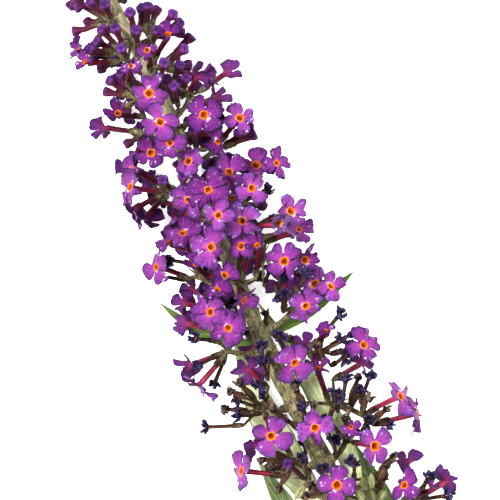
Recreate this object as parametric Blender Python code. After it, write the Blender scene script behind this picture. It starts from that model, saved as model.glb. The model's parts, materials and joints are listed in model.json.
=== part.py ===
import math
import random

import bmesh
import bpy
import numpy as np

# A cut flower spike of a butterfly bush, lying on a flat surface.
# The stem runs along Y with the budding tip at +Y, and +Z is up.
# Every length below is in millimetres, and the meshes are written in metres.
metre = 0.001

# The picture shows the spike from straight above, leaning to the left of upright.
# A place in it is given in pixels across and down its 500 by 500 frame.
pixelsPerMm = 5.0
pictureMiddle = 250.0
pictureLean = math.radians(24.3)
eyeDistance = 500.0
stemPlane = 16.0
sideShift = 4.65

# The stem's line: along Y, across X, height Z and radius.
stemLine = (
    (-108.0, 2.6, 15.5, 1.95),
    (-80.0, 1.7, 18.4, 1.85),
    (-53.0, 0.9, 19.0, 1.70),
    (-31.0, 0.0, 18.2, 1.50),
    (-16.0, -0.4, 17.3, 1.35),
    (-2.0, 0.0, 16.4, 1.25),
    (10.0, -0.1, 15.6, 1.20),
    (20.0, -0.1, 14.9, 1.15),
    (31.0, 1.3, 14.2, 1.05),
    (42.0, 0.6, 13.4, 0.98),
    (52.0, 0.2, 12.6, 0.92),
    (70.0, -1.2, 10.9, 0.75),
    (86.0, -3.0, 9.0, 0.55),
    (97.0, -4.6, 7.4, 0.40),
)
stemSides = 8
nodeSwell = 1.25
widestPlainRun = 3.0
tipStretch = 4.0
seat = 0.35

# A spray's stalk leaves the stem at this angle, and is this long at each place along the stem.
stalkAngle = math.radians(56.0)
stalkLengths = (
    (-62.0, 7.5), (-30.0, 7.0), (0.0, 6.0), (30.0, 5.4), (50.0, 4.6), (62.0, 3.4), (84.0, 1.3),
)
stalkRadius = 0.62
stalkFlare = 1.3
stalkBend = 0.45
hubRadius = 1.3
footDepth = 0.55

# Half the width of the spike at each place along the stem.
halfWidths = (
    (-75.0, 21.0), (-48.0, 20.5), (-10.0, 18.0), (15.0, 16.8), (35.0, 14.0), (57.0, 10.0), (98.0, 3.0),
)

# A floret: calyx and tube, then a flat face of four lobes.
floretLength = 8.9
tubeRadius = 0.85
footRadius = 0.5
throatDepth = 0.7
shortestPedicel = 1.6
faceThickness = 0.62
notchDepth = 0.5
lobeHalfAngle = math.radians(23.0)
longestPedicel = 5.5
shortestFloret = 5.5

# Places and sizes that a floret is tried in until it keeps clear of the other sprays.
clearance = 0.34
nearReach = 14.0
likeliestHubs = 5
backCost = 6.0
crossingCost = 0.5
facingLifts = (0.0, 1.0, -1.0, 2.0, -2.0, 3.2, -3.2, 4.6)
facingStretches = (0.6, 2.6, 4.6)
facingLean = 0.9
sideLifts = (0.0, 1.2, -1.2, 2.4, -2.4, 4.0, -4.0, 6.0)
sideSpin = 20.0

# The balls that stand for a floret while room is found: radii, their step along a tube,
# and the places on a lobe as a turn in degrees and a share of the face's reach.
pedicelBall = 0.55
tubeBall = 0.95
lobeBall = 0.5
ballStep = 0.8
lobeBalls = ((0, 0.45), (-13, 0.72), (13, 0.72), (-19, 0.95), (0, 0.97), (19, 0.95))

# Length from the calyx and width of each kind: where the picture shows it, and elsewhere.
seenSizes = {"bud": (6.6, 2.1), "green": (3.2, 1.5), "withered": (6.6, 2.7), "dry": (5.2, 2.9)}
hiddenSizes = {
    "open": (8.9, 6.4), "bud": (6.8, 2.1), "green": (4.0, 1.5), "withered": (7.2, 2.7), "dry": (5.6, 2.9),
}
# What grows above each place along the stem, as shares that add up from kind to kind.
hiddenKinds = (
    (44.0, (("bud", 1.0),)),
    (15.0, (("open", 0.65), ("bud", 1.0))),
    (-15.0, (("open", 0.6), ("bud", 0.72), ("withered", 1.0))),
    (-42.0, (("open", 0.4), ("withered", 0.82), ("dry", 1.0))),
    (-110.0, (("open", 0.34), ("withered", 0.66), ("dry", 0.94), ("green", 1.0))),
)
hiddenCounts = {"front": 3, "back": 7, "left": 5, "right": 5}
tipCount = 5
buddingFrom = 44.0
seenFrom = -54.0
seenTo = 56.0
spreadTilts = (12.0, 78.0)
frontRise = 0.12
tipShrink = ((56.0, 1.0), (96.0, 0.36))
# A face that comes this near to the surface lies flat on it.
pressedReach = 2.7
pressedNeck = 1.6

# The sprays in pairs from the tip down: name, place along the stem, and the stalk's end as
# pixels across and down with its height above the stem. Where no end is given it follows
# from the side that the spray grows on.
sprayPlaces = (
    ("cyme_01_left", 73.0, ()),
    ("cyme_01_right", 73.0, ()),
    ("cyme_02_front", 66.5, ()),
    ("cyme_02_back", 66.5, ()),
    ("cyme_03_left", 60.5, ()),
    ("cyme_03_right", 60.5, ()),
    ("cyme_04_front", 55.0, ()),
    ("cyme_04_back", 55.0, ()),
    ("cyme_05_left", 50.0, ((110, 22, 1.5),)),
    ("cyme_05_right", 50.0, ((149, 34, 1.0),)),
    ("cyme_06_front", 45.0, ()),
    ("cyme_06_back", 45.0, ()),
    ("cyme_07_left", 44.0, ((125, 58, 1.0),)),
    ("cyme_07_right", 41.0, ((159, 67, 1.0),)),
    ("cyme_08_front", 35.5, ()),
    ("cyme_08_back", 35.5, ()),
    ("cyme_09_left", 35.0, ((139, 98, 1.5),)),
    ("cyme_09_right", 31.0, ((190, 95, 1.5),)),
    ("cyme_10_front", 24.5, ()),
    ("cyme_10_back", 24.5, ()),
    ("cyme_11_left", 27.0, ((149, 131, 1.0),)),
    ("cyme_11_right", 20.5, ((217, 147, 0.5),)),
    ("cyme_12_front", 13.0, ()),
    ("cyme_12_back", 13.0, ()),
    ("cyme_13_left", 16.0, ((172, 188, 0.5),)),
    ("cyme_13_right", 9.5, ((236, 204, 1.5),)),
    ("cyme_14_front", 3.0, ()),
    ("cyme_14_back", 3.0, ()),
    ("cyme_15_left", -4.5, ((198, 276, 1.0),)),
    ("cyme_15_right", -1.0, ((263, 255, 1.5),)),
    ("cyme_16_front", -9.0, ()),
    ("cyme_16_back", -9.0, ()),
    ("cyme_17_left", -12.0, ((231, 315, 2.0),)),
    ("cyme_17_right", -16.0, ((298, 303, 1.5),)),
    ("cyme_18_front", -24.5, ()),
    ("cyme_18_back", -21.0, ()),
    ("cyme_19_left", -19.0, ((228, 351, 0.0),)),
    ("cyme_19_right", -27.0, ((320, 352, 1.0),)),
    ("cyme_20_left", -31.5, ((263, 405, 0.5),)),
    ("cyme_20_right", -38.0, ((334, 404, 2.0), (368, 418, 0.0))),
    ("cyme_21_front", -41.0, ()),
    ("cyme_22_left", -44.0, ((294, 461, 1.0),)),
    ("cyme_22_right", -44.5, ((346, 441, 1.5),)),
    ("cyme_23_front", -54.0, ()),
    ("cyme_24_left", -51.0, ((308, 479, -1.0),)),
    ("cyme_24_right", -52.0, ((372, 479, 1.0),)),
    ("cyme_25_left", -61.0, ()),
    ("cyme_25_right", -61.0, ((412, 503, 0.5),)),
)
sideAngles = {"front": 0.0, "right": 90.0, "back": 180.0, "left": 270.0}

# Open florets turned to the eye: across, down, width, and the turn of one lobe in degrees.
facingFlorets = (
    (208, 190, 8.4, 60), (211, 247, 8.4, 75), (271, 436, 8.0, 68), (295, 363, 7.8, 45),
    (210, 312, 7.6, 56), (228, 328, 6.8, 15), (337, 485, 7.4, 85), (404, 485, 6.4, 40),
    (375, 446, 7.4, 45), (306, 306, 6.8, 60), (315, 428, 7.0, 15), (244, 300, 5.4, 56),
    (149, 93, 6.8, 80), (160, 122, 6.6, 20), (170, 143, 5.4, 0), (204, 115, 6.6, 35),
    (229, 172, 7.0, 45), (256, 165, 6.6, 85), (252, 188, 6.4, 30), (232, 198, 5.8, 20),
    (218, 215, 6.4, 80), (242, 221, 6.6, 45), (241, 246, 5.6, 30), (284, 261, 7.0, 50),
    (188, 200, 6.4, 45), (183, 233, 6.6, 75), (315, 284, 6.4, 65), (225, 275, 5.0, 80),
    (151, 153, 5.8, 30), (351, 427, 3.6, 20),
)
# Open florets seen from the side or from behind: across, down, width, then the calyx's foot
# across and down, and how far the face turns up to the eye, from 1 to -1.
sideFlorets = (
    (241, 471, 6.8, 284, 476, 0.25), (401, 396, 6.8, 367, 413, 0.20), (418, 413, 6.8, 376, 423, 0.0),
    (447, 481, 5.6, 413, 502, -0.2), (364, 345, 6.2, 331, 354, 0.30), (361, 363, 5.0, 333, 380, -0.3),
    (318, 368, 5.0, 329, 403, 0.40), (250, 371, 5.8, 268, 388, -0.5), (185, 303, 5.0, 214, 311, -0.4),
    (187, 323, 5.0, 214, 331, -0.4), (156, 267, 6.0, 189, 278, 0.0), (192, 290, 4.6, 214, 302, -0.1),
    (130, 187, 6.8, 167, 192, 0.10), (132, 168, 5.6, 168, 188, 0.0), (103, 128, 5.0, 142, 132, -0.3),
    (118, 113, 5.2, 143, 117, 0.40), (291, 211, 6.0, 260, 224, 0.10), (299, 229, 5.6, 266, 242, 0.10),
    (277, 163, 5.6, 243, 172, 0.10), (240, 118, 5.6, 220, 142, 0.0), (227, 73, 5.4, 199, 92, -0.1),
    (203, 77, 5.4, 186, 96, 0.50), (188, 161, 5.8, 199, 184, 0.50), (170, 242, 5.0, 196, 252, 0.10),
    (158, 200, 4.4, 184, 208, -0.2), (305, 260, 5.4, 276, 272, 0.30), (331, 286, 5.6, 301, 297, 0.20),
    (196, 264, 4.8, 214, 283, 0.40), (152, 180, 4.6, 172, 190, -0.1), (257, 245, 4.8, 256, 278, 0.50),
    (79, 50, 4.4, 116, 55, 0.0), (85, 62, 4.0, 118, 62, 0.0), (131, 66, 3.8, 128, 86, 0.40),
    (147, 50, 3.8, 151, 72, 0.30), (218, 142, 4.8, 201, 150, 0.50), (217, 97, 5.2, 197, 106, -0.1),
    (287, 232, 5.2, 262, 238, -0.1), (279, 223, 5.0, 250, 226, 0.10), (168, 34, 4.6, 152, 64, 0.10),
    (432, 487, 2.6, 402, 500, 0.0), (326, 331, 3.6, 312, 346, 0.40), (244, 132, 4.0, 223, 147, 0.0),
    (288, 287, 4.4, 283, 312, -0.2), (305, 345, 4.8, 312, 358, -0.1), (217, 290, 4.8, 232, 312, 0.20),
)
# Buds: head across and down, then the calyx's foot.
buds = (
    (102, 29, 120, 50), (115, 28, 124, 50), (97, 41, 119, 52), (94, 55, 121, 58),
    (110, 80, 133, 97), (121, 73, 138, 92), (148, 6, 147, 32), (173, 14, 159, 30),
    (180, 23, 160, 36), (191, 37, 167, 62), (184, 49, 166, 66), (158, 78, 165, 96),
    (174, 86, 178, 106), (75, 1, 109, 22), (90, 2, 111, 20), (105, 4, 113, 22),
    (130, 12, 134, 30), (142, 8, 143, 30), (164, 63, 160, 80), (193, 130, 197, 150),
    (254, 135, 224, 148), (229, 157, 226, 176), (163, 180, 170, 190), (148, 140, 158, 152),
    (183, 176, 182, 196), (288, 464, 304, 479), (121, 48, 128, 60), (112, 62, 126, 66),
    (196, 316, 214, 322), (180, 65, 172, 84), (186, 78, 182, 98), (90, 48, 112, 52),
    (157, 30, 152, 44), (136, 30, 138, 48),
)
greenBuds = (
    (363, 478, 366, 490), (371, 475, 372, 489), (371, 491, 374, 500), (385, 492, 380, 500),
    (358, 492, 362, 501),
)
# Withered florets, dark and dry: head across and down, then the foot.
witheredFlorets = (
    (195, 339, 216, 341), (199, 365, 224, 352), (206, 427, 244, 425), (238, 416, 262, 413),
    (340, 315, 325, 332), (344, 340, 321, 352), (352, 334, 330, 346), (345, 356, 331, 366),
    (346, 379, 342, 402), (370, 376, 360, 402), (336, 394, 338, 412), (360, 391, 348, 412),
    (390, 425, 372, 424), (368, 421, 362, 432), (334, 440, 336, 458), (354, 462, 354, 480),
    (263, 362, 268, 380), (262, 394, 270, 410), (258, 385, 268, 398), (261, 347, 262, 362),
    (278, 337, 286, 352), (281, 295, 284, 312), (270, 270, 264, 286), (283, 277, 276, 292),
    (307, 275, 296, 292), (222, 120, 214, 138), (203, 228, 216, 240), (170, 260, 192, 264),
    (163, 276, 186, 280), (203, 294, 214, 306), (240, 281, 240, 298), (233, 303, 240, 316),
    (303, 458, 310, 474), (322, 468, 322, 486), (302, 407, 306, 424), (296, 384, 300, 402),
    (237, 400, 262, 408), (431, 478, 414, 496), (272, 218, 256, 232), (289, 264, 280, 280),
)
dryFlorets = (
    (231, 391, 246, 398), (240, 383, 256, 400), (226, 409, 250, 412), (290, 338, 298, 352),
    (296, 390, 304, 404), (358, 378, 350, 404), (368, 397, 362, 412), (387, 409, 372, 420),
    (394, 456, 380, 470), (385, 477, 378, 490), (262, 460, 284, 462), (272, 468, 290, 468),
    (306, 496, 318, 494), (311, 484, 320, 490), (313, 405, 312, 420), (345, 418, 348, 434),
    (387, 466, 378, 480), (286, 420, 300, 430), (272, 408, 284, 420), (318, 345, 320, 360),
)

# Leaves: name, place along the stem, tip as pixels across and down with its height above the
# surface, greatest width, and how far along the blade it is reached.
leafPlaces = (
    ("leaf_bract_left", -17.0, (160, 303, 9.5), 5.0, 0.42),
    ("leaf_bract_right", -17.0, (353, 272, 9.0), 5.6, 0.42),
    ("leaf_upper_left", -56.0, (234, 343, 3.4), 14.5, 0.55),
    ("leaf_upper_right", -56.0, (256, 300, 6.4), 11.5, 0.50),
    ("leaf_lower_left", -79.0, (257, 458, 0.0), 12.0, 0.55),
    ("leaf_lower_right", -79.0, (338, 426, 0.0), 12.0, 0.55),
)
leafThickness = 0.62
leafStations = 8
leafFold = 0.16
leafDroop = 0.55
narrowestHalf = 0.45
tipHalf = 0.12
leafBall = 0.8
leafBallLift = 0.3

# The buds on the very end of the stem.
tipBudLevels = (81.0, 86.0, 90.5, 94.5)
tipBudLength = 4.4
tipBudWidth = 1.7
tipBudShrink = 0.62

mergeGap = 0.000002
soundGap = 0.000004
footSwells = (1.0, 1.05, 0.94, 1.11, 0.89)
keptShares = (0.72, 0.76, 0.8, 0.86, 0.92, 1.0)

randomSeed = 27


def unit(vector):
    return vector / np.linalg.norm(vector)


def readLine(line, column, along):
    # A smooth curve through the rows of a table, read at one place.
    rows = np.array(line)
    places = rows[:, 0]
    slopes = np.gradient(rows[:, column], places)
    index = int(np.clip(np.searchsorted(places, along) - 1, 0, len(places) - 2))
    step = places[index + 1] - places[index]
    t = float(np.clip((along - places[index]) / step, 0.0, 1.0))
    start = rows[index, column]
    end = rows[index + 1, column]
    return (
        (2 * t ** 3 - 3 * t ** 2 + 1) * start
        + (t ** 3 - 2 * t ** 2 + t) * step * slopes[index]
        + (3 * t ** 2 - 2 * t ** 3) * end
        + (t ** 3 - t ** 2) * step * slopes[index + 1]
    )


def stemAt(along):
    return np.array([readLine(stemLine, 1, along), along, readLine(stemLine, 2, along)])


def stemDirection(along):
    return unit(stemAt(along + 0.5) - stemAt(along - 0.5))


def stemRadius(along):
    return readLine(stemLine, 3, along)


def placed(across, down, height):
    # The place at this height that the picture shows at these pixels.
    scale = (eyeDistance - (height - stemPlane)) / eyeDistance / pixelsPerMm
    right = (across - pictureMiddle) * scale
    up = (pictureMiddle - down) * scale
    x = right * math.cos(pictureLean) + up * math.sin(pictureLean) + sideShift
    y = up * math.cos(pictureLean) - right * math.sin(pictureLean)
    return np.array([x, y, height])


def outward(side, along):
    # The direction square to the stem on a spray's side.
    direction = stemDirection(along)
    angle = math.radians(sideAngles[side])
    raw = np.array([math.sin(angle), 0.0, math.cos(angle)])
    return unit(raw - direction * raw.dot(direction))


def curvePoints(start, pull, end, count):
    steps = np.linspace(0.0, 1.0, count)[:, None]
    return (1 - steps) ** 2 * start + 2 * steps * (1 - steps) * pull + steps ** 2 * end


class Spray:
    # A stalk from the stem with one or two heads that florets grow from.
    def __init__(self, name, along, ends):
        self.name = name
        self.along = along
        self.side = name.split("_")[2]
        self.florets = []
        centre = stemAt(along)
        direction = stemDirection(along)
        side = outward(self.side, along)
        if ends:
            hubs = [placed(across, down, centre[2] + lift) for across, down, lift in ends]
            side = hubs[0] - centre
            side = unit(side - direction * side.dot(direction))
        else:
            length = np.interp(along, *zip(*stalkLengths))
            reach = side * math.sin(stalkAngle) + direction * math.cos(stalkAngle)
            hubs = [centre + reach * length]
        self.out = side
        self.hubs = hubs
        foot = centre + side * (stemRadius(along) * nodeSwell + seat)
        pull = foot + side * stalkBend * np.linalg.norm(hubs[0] - foot)
        self.stalks = [curvePoints(foot, pull, hubs[0], 4)]
        for hub in hubs[1:]:
            bend = (hubs[0] + hub) / 2 + np.array([0.0, 1.0, 0.0])
            self.stalks.append(curvePoints(hubs[0], bend, hub, 3))


class Space:
    # What is already placed, as small balls with their owners' names.
    def __init__(self):
        self.centres = np.zeros((0, 3))
        self.radii = np.zeros(0)
        self.owners = np.zeros(0, dtype=int)
        self.faces = np.zeros(0, dtype=bool)

    def add(self, balls, owner):
        centres = np.array([ball[0] for ball in balls])
        self.centres = np.vstack([self.centres, centres])
        self.radii = np.append(self.radii, [ball[1] for ball in balls])
        self.owners = np.append(self.owners, [owner] * len(balls))
        self.faces = np.append(self.faces, [ball[2] for ball in balls])

    def crossings(self, balls, owner):
        # How many balls touch another owner's, and how many faces touch one of the same owner.
        centres = np.array([ball[0] for ball in balls])
        radii = np.array([ball[1] for ball in balls])
        isFace = np.array([ball[2] for ball in balls])
        middle = centres.mean(axis=0)
        near = np.linalg.norm(self.centres - middle, axis=1) < nearReach
        if not near.any():
            return 0, 0
        gaps = np.linalg.norm(centres[:, None, :] - self.centres[near][None, :, :], axis=2)
        gaps = gaps - radii[:, None] - self.radii[near][None, :]
        others = self.owners[near] != owner
        hard = int((gaps[:, others] < clearance).sum())
        touching = gaps[:, ~others] < 0.0
        faces = isFace[:, None] | self.faces[near][~others][None, :]
        soft = float((touching & faces).sum() + 0.5 * (touching & ~faces).sum())
        return hard, soft


class Floret:
    # One floret or bud: its foot in the head of a spray, its calyx, and the eye of its face.
    def __init__(self, kind, hub, calyx, eye, facing, width, spin, cup):
        self.kind = kind
        self.hub = hub
        way = unit(calyx - hub)
        nearest = hubRadius - footDepth + 0.3
        self.foot = hub + way * (hubRadius - footDepth)
        self.calyx = calyx if np.linalg.norm(calyx - hub) > nearest else hub + way * nearest
        self.eye = eye
        self.facing = unit(facing)
        self.width = width
        self.spin = spin
        self.cup = cup

    def frame(self):
        # Two directions across the face; the first is the picture's right, turned by the spin.
        right = np.array([math.cos(pictureLean), -math.sin(pictureLean), 0.0])
        if abs(right.dot(self.facing)) > 0.9:
            right = np.array([0.0, 0.0, -1.0])
        first = unit(right - self.facing * right.dot(self.facing))
        second = np.cross(self.facing, first)
        angle = math.radians(self.spin)
        turned = first * math.cos(angle) + second * math.sin(angle)
        return turned, np.cross(self.facing, turned)

    def balls(self):
        result = []
        spans = ((self.foot, self.calyx, pedicelBall), (self.calyx, self.eye, tubeBall))
        for start, end, radius in spans:
            count = max(2, int(np.linalg.norm(end - start) / ballStep) + 1)
            for t in np.linspace(0.0, 1.0, count):
                result.append((start + (end - start) * t, radius, False))
        if self.kind != "open":
            result.append((self.eye, 0.55 * self.width, True))
            return result
        first, second = self.frame()
        reach = self.width / 2
        for lobe in range(4):
            for turn, out in lobeBalls:
                angle = math.radians(90 * lobe + turn)
                spot = first * math.cos(angle) + second * math.sin(angle)
                lift = self.facing * self.cup * out * reach
                result.append((self.eye + spot * out * reach + lift, lobeBall, True))
        return result

    def lowest(self):
        # How low it reaches; a face that looks straight down lies flat.
        flat = self.facing[2] < -0.99
        heights = []
        for centre, radius, isFace in self.balls():
            if flat and (isFace or np.linalg.norm(centre - self.eye) < pressedNeck):
                continue
            heights.append(centre[2] - radius)
        return min(heights)


def hubChoices(sprays, across, down, spread):
    # The heads that a floret may grow from, the likeliest first.
    choices = []
    for spray in sprays:
        for hub in spray.hubs:
            spot = placed(across, down, hub[2])
            target = hub + spray.out * spread
            cost = np.linalg.norm((spot - target)[:2]) + (backCost if spray.side == "back" else 0.0)
            choices.append((cost, spray, hub))
    choices.sort(key=lambda choice: choice[0])
    return choices[:likeliestHubs]


def tryFloret(space, sprays, candidates):
    # Adds the candidate that crosses least of those that keep clear of every other spray.
    best = None
    for cost, spray, floret in candidates:
        if floret.lowest() < 0.0:
            continue
        hard, soft = space.crossings(floret.balls(), sprays.index(spray))
        if hard:
            continue
        score = cost + soft * crossingCost
        if best is None or score < best[0]:
            best = (score, spray, floret)
    if best is not None:
        space.add(best[2].balls(), sprays.index(best[1]))
        best[1].florets.append(best[2])


def facingCandidates(sprays, across, down, width, spin):
    candidates = []
    for cost, spray, hub in hubChoices(sprays, across, down, 2.0):
        for lift in facingLifts:
            for stretch in facingStretches:
                length = floretLength + stretch
                eye = hub.copy()
                for _ in range(3):
                    flat = np.linalg.norm((placed(across, down, eye[2]) - hub)[:2])
                    rise = math.sqrt(max(length ** 2 - flat ** 2, 0.0))
                    eye = placed(across, down, hub[2] + max(rise, 1.0) + lift)
                total = np.linalg.norm(eye - hub)
                if total > floretLength + longestPedicel or total < shortestFloret:
                    continue
                direction = unit(eye - hub)
                calyx = hub + direction * max(total - floretLength, 0.4)
                tilt = unit(direction + np.array([0.0, 0.0, facingLean]))
                floret = Floret("open", hub, calyx, eye, tilt, width, spin, 0.1)
                penalty = cost * 0.5 + abs(lift) * 0.5 + (length - floretLength) * 0.4
                candidates.append((penalty, spray, floret))
    return candidates


def sideCandidates(sprays, kind, head, foot, width, turn, length):
    candidates = []
    for cost, spray, hub in hubChoices(sprays, *foot, 0.0):
        for lift in sideLifts:
            calyx = placed(*foot, hub[2] + lift)
            flat = np.linalg.norm((placed(*head, calyx[2]) - calyx)[:2])
            rise = math.sqrt(max(length ** 2 - flat ** 2, 0.0)) * (1.0 if turn >= 0.0 else -1.0)
            eye = placed(*head, calyx[2] + rise)
            if np.linalg.norm(calyx - hub) > longestPedicel + 2.0:
                continue
            facing = unit(eye - calyx) + np.array([0.0, 0.0, turn])
            if np.linalg.norm(calyx - hub) < 0.5:
                calyx = hub + unit(eye - hub) * 0.5
            cup = 0.45 if width < 5.5 else 0.12
            floret = Floret(kind, hub, calyx, eye, facing, width, sideSpin, cup)
            candidates.append((cost + abs(lift) * 0.7, spray, floret))
    return candidates


def growSeen(space, sprays):
    # The florets that the picture shows, each at its own place.
    for across, down, width, spin in facingFlorets:
        tryFloret(space, sprays, facingCandidates(sprays, across, down, width, spin))
    for across, down, width, footAcross, footDown, turn in sideFlorets:
        foot = (footAcross, footDown)
        options = sideCandidates(sprays, "open", (across, down), foot, width, turn, floretLength)
        tryFloret(space, sprays, options)
    groups = {"bud": buds, "green": greenBuds, "withered": witheredFlorets, "dry": dryFlorets}
    for kind, group in groups.items():
        usualLength, width = seenSizes[kind]
        for across, down, footAcross, footDown in group:
            foot = (footAcross, footDown)
            flat = math.hypot(across - footAcross, down - footDown) / pixelsPerMm
            length = max(usualLength, flat)
            tryFloret(space, sprays, sideCandidates(sprays, kind, (across, down), foot, width, 0.0, length))


def kindAt(along, draw):
    # Buds at the tip, open florets in the middle, withered and dry ones below.
    shares = next(kinds for lowest, kinds in hiddenKinds if along > lowest)
    return next(kind for kind, share in shares if draw < share)


def wayOut(spray, index, count, turn):
    # A direction away from the stem, one of a round head of them.
    direction = stemDirection(spray.along)
    axis = unit(spray.out * 0.85 + direction * 0.5)
    first = unit(np.cross(axis, direction))
    second = np.cross(axis, first)
    tilt = math.radians(spreadTilts[0] + spreadTilts[1] * math.sqrt((index + 0.5) / count))
    return axis * math.cos(tilt) + (first * math.cos(turn) + second * math.sin(turn)) * math.sin(tilt)


def inView(eye, way, width):
    # Whether the picture would show a floret that isn't there, in front or past the outline.
    inFront = seenFrom < eye[1] < seenTo and way[2] > frontRise
    half = np.interp(eye[1], *zip(*halfWidths)) - width * 0.3
    return inFront or abs(eye[0] - stemAt(eye[1])[0]) > half


def growHidden(space, sprays):
    # The florets that the picture doesn't show: behind, below and past its edges.
    golden = math.pi * (3.0 - math.sqrt(5.0))
    for number, spray in enumerate(sprays):
        draw = random.Random(randomSeed + number)
        count = tipCount if spray.along > buddingFrom else hiddenCounts[spray.side]
        most = count + (2 if spray.side in ("left", "right") else 1)
        shrink = float(np.interp(spray.along, *zip(*tipShrink)))
        for hub in spray.hubs:
            for index in range(count * 3):
                way = wayOut(spray, index, count * 3, golden * index + number)
                kind = kindAt(hub[1], draw.random())
                length = hiddenSizes[kind][0] * shrink * draw.uniform(0.88, 1.12)
                width = hiddenSizes[kind][1] * shrink * draw.uniform(0.85, 1.1)
                spin = draw.uniform(0.0, 90.0)
                eye = hub + way * length
                grown = sum(1 for floret in spray.florets if np.allclose(floret.hub, hub))
                if grown >= most or inView(eye, way, width):
                    continue
                pressed = kind == "open" and eye[2] < pressedReach
                if pressed:
                    eye[2] = 0.0
                facing = np.array([0.0, 0.0, -1.0]) if pressed else way
                calyx = hub + unit(eye - hub) * 0.5
                cup = 0.0 if pressed else 0.15
                floret = Floret(kind, hub, calyx, eye, facing, width, spin, cup)
                tryFloret(space, sprays, [(0.0, spray, floret)])


def leafSpots(name, along, tip, width, widest):
    # The blade's midrib and half widths, from the stem to the tip.
    start = stemAt(along)
    end = placed(*tip)
    side = np.array([-1.0 if name.endswith("left") else 1.0, 0.0, 0.0])
    lowSide = unit(side - np.array([0.0, 0.0, leafDroop]))
    foot = start + lowSide * (stemRadius(along) * nodeSwell + seat + leafThickness)
    pull = foot + lowSide * 6.0 + (end - foot) * 0.25
    pull[2] = end[2] + (foot[2] - end[2]) * 0.2
    steps = np.linspace(0.0, 1.0, leafStations)
    middle = curvePoints(foot, pull, end, leafStations)
    power = math.log(0.5) / math.log(widest)
    shape = np.array([math.sin(math.pi * step ** power) for step in steps])
    halves = np.maximum(width / 2 * np.clip(shape, 0.0, 1.0) ** 0.85, narrowestHalf)
    halves[-1] = tipHalf
    return middle, halves


def leafBalls(middle, halves):
    balls = []
    for index in range(len(middle) - 1):
        for t in (0.0, 0.33, 0.67):
            spot = middle[index] * (1 - t) + middle[index + 1] * t
            half = halves[index] * (1 - t) + halves[index + 1] * t
            direction = unit(middle[index + 1] - middle[index])
            across = unit(np.cross(direction, np.array([0.0, 0.0, 1.0])))
            for place in np.linspace(-half, half, max(2, int(half / 0.5) + 1)):
                raised = spot + across * place + np.array([0.0, 0.0, leafBallLift])
                balls.append((raised, leafBall, False))
    return balls


def planSpike():
    # Every spray with its florets in place.
    space = Space()
    sprays = [Spray(*place) for place in sprayPlaces]
    places = np.arange(stemLine[0][0] + 2.0, stemLine[-1][0], 1.0)
    stemBalls = [(stemAt(along), stemRadius(along) * 1.1, False) for along in places]
    space.add(stemBalls, -1)
    for floret in tipFlorets():
        space.add(floret.balls(), -1)
    leaves = []
    for number, (name, along, tip, width, widest) in enumerate(leafPlaces):
        middle, halves = leafSpots(name, along, tip, width, widest)
        leaves.append((name, middle, halves))
        space.add(leafBalls(middle, halves), -2 - number)
    for number, spray in enumerate(sprays):
        for stalk in spray.stalks:
            space.add([(point, stalkRadius, False) for point in stalk[1:]], number)
        space.add([(hub, hubRadius, False) for hub in spray.hubs], number)
    growSeen(space, sprays)
    growHidden(space, sprays)
    return sprays, leaves


def tipFlorets():
    # The smallest buds, which sit straight on the end of the stem.
    florets = []
    for level, along in enumerate(tipBudLevels):
        size = 1.0 - tipBudShrink * level / (len(tipBudLevels) - 1)
        direction = stemDirection(along)
        for corner in range(4):
            angle = math.radians(90.0 * corner + 45.0 * level)
            raw = np.array([math.sin(angle), 0.0, math.cos(angle)])
            way = unit(unit(raw - direction * raw.dot(direction)) * 0.8 + direction)
            foot = stemAt(along)
            eye = foot + way * tipBudLength * size
            florets.append(Floret("bud", foot, foot + way * 0.4, eye, way, tipBudWidth * size, 0.0, 0.0))
    end = stemAt(stemLine[-1][0])
    way = stemDirection(stemLine[-1][0] - 1.0)
    florets.append(Floret("bud", end - way, end, end + way * 1.6, way, 1.0, 0.0, 0.0))
    return florets


def ringPoints(centre, direction, guide, radius, sides):
    # Points round a centre, the first one towards the guide.
    direction = unit(direction)
    first = unit(guide - direction * guide.dot(direction))
    second = np.cross(direction, first)
    angles = [2.0 * math.pi * index / sides for index in range(sides)]
    return [centre + radius * (first * math.cos(angle) + second * math.sin(angle)) for angle in angles]


class Shell:
    # Points and faces of one closed solid, gathered ring by ring.
    def __init__(self):
        self.points = []
        self.faces = []

    def addRing(self, points):
        start = len(self.points)
        self.points.extend(points)
        return list(range(start, start + len(points)))

    def join(self, lower, upper):
        count = len(lower)
        for index in range(count):
            after = (index + 1) % count
            self.faces.append((lower[index], lower[after], upper[after], upper[index]))

    def closeFoot(self, ring):
        self.faces.append(tuple(reversed(ring)))

    def closePoint(self, ring, point):
        tip = self.addRing([point])[0]
        for index in range(len(ring)):
            self.faces.append((ring[index], ring[(index + 1) % len(ring)], tip))

    def mesh(self, name):
        data = bpy.data.meshes.new(name)
        points = [tuple(float(value) * metre for value in point) for point in self.points]
        data.from_pydata(points, [], self.faces)
        model = bmesh.new()
        model.from_mesh(data)
        bmesh.ops.triangulate(model, faces=model.faces[:])
        bmesh.ops.recalc_face_normals(model, faces=model.faces[:])
        model.to_mesh(data)
        model.free()
        return data


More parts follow.
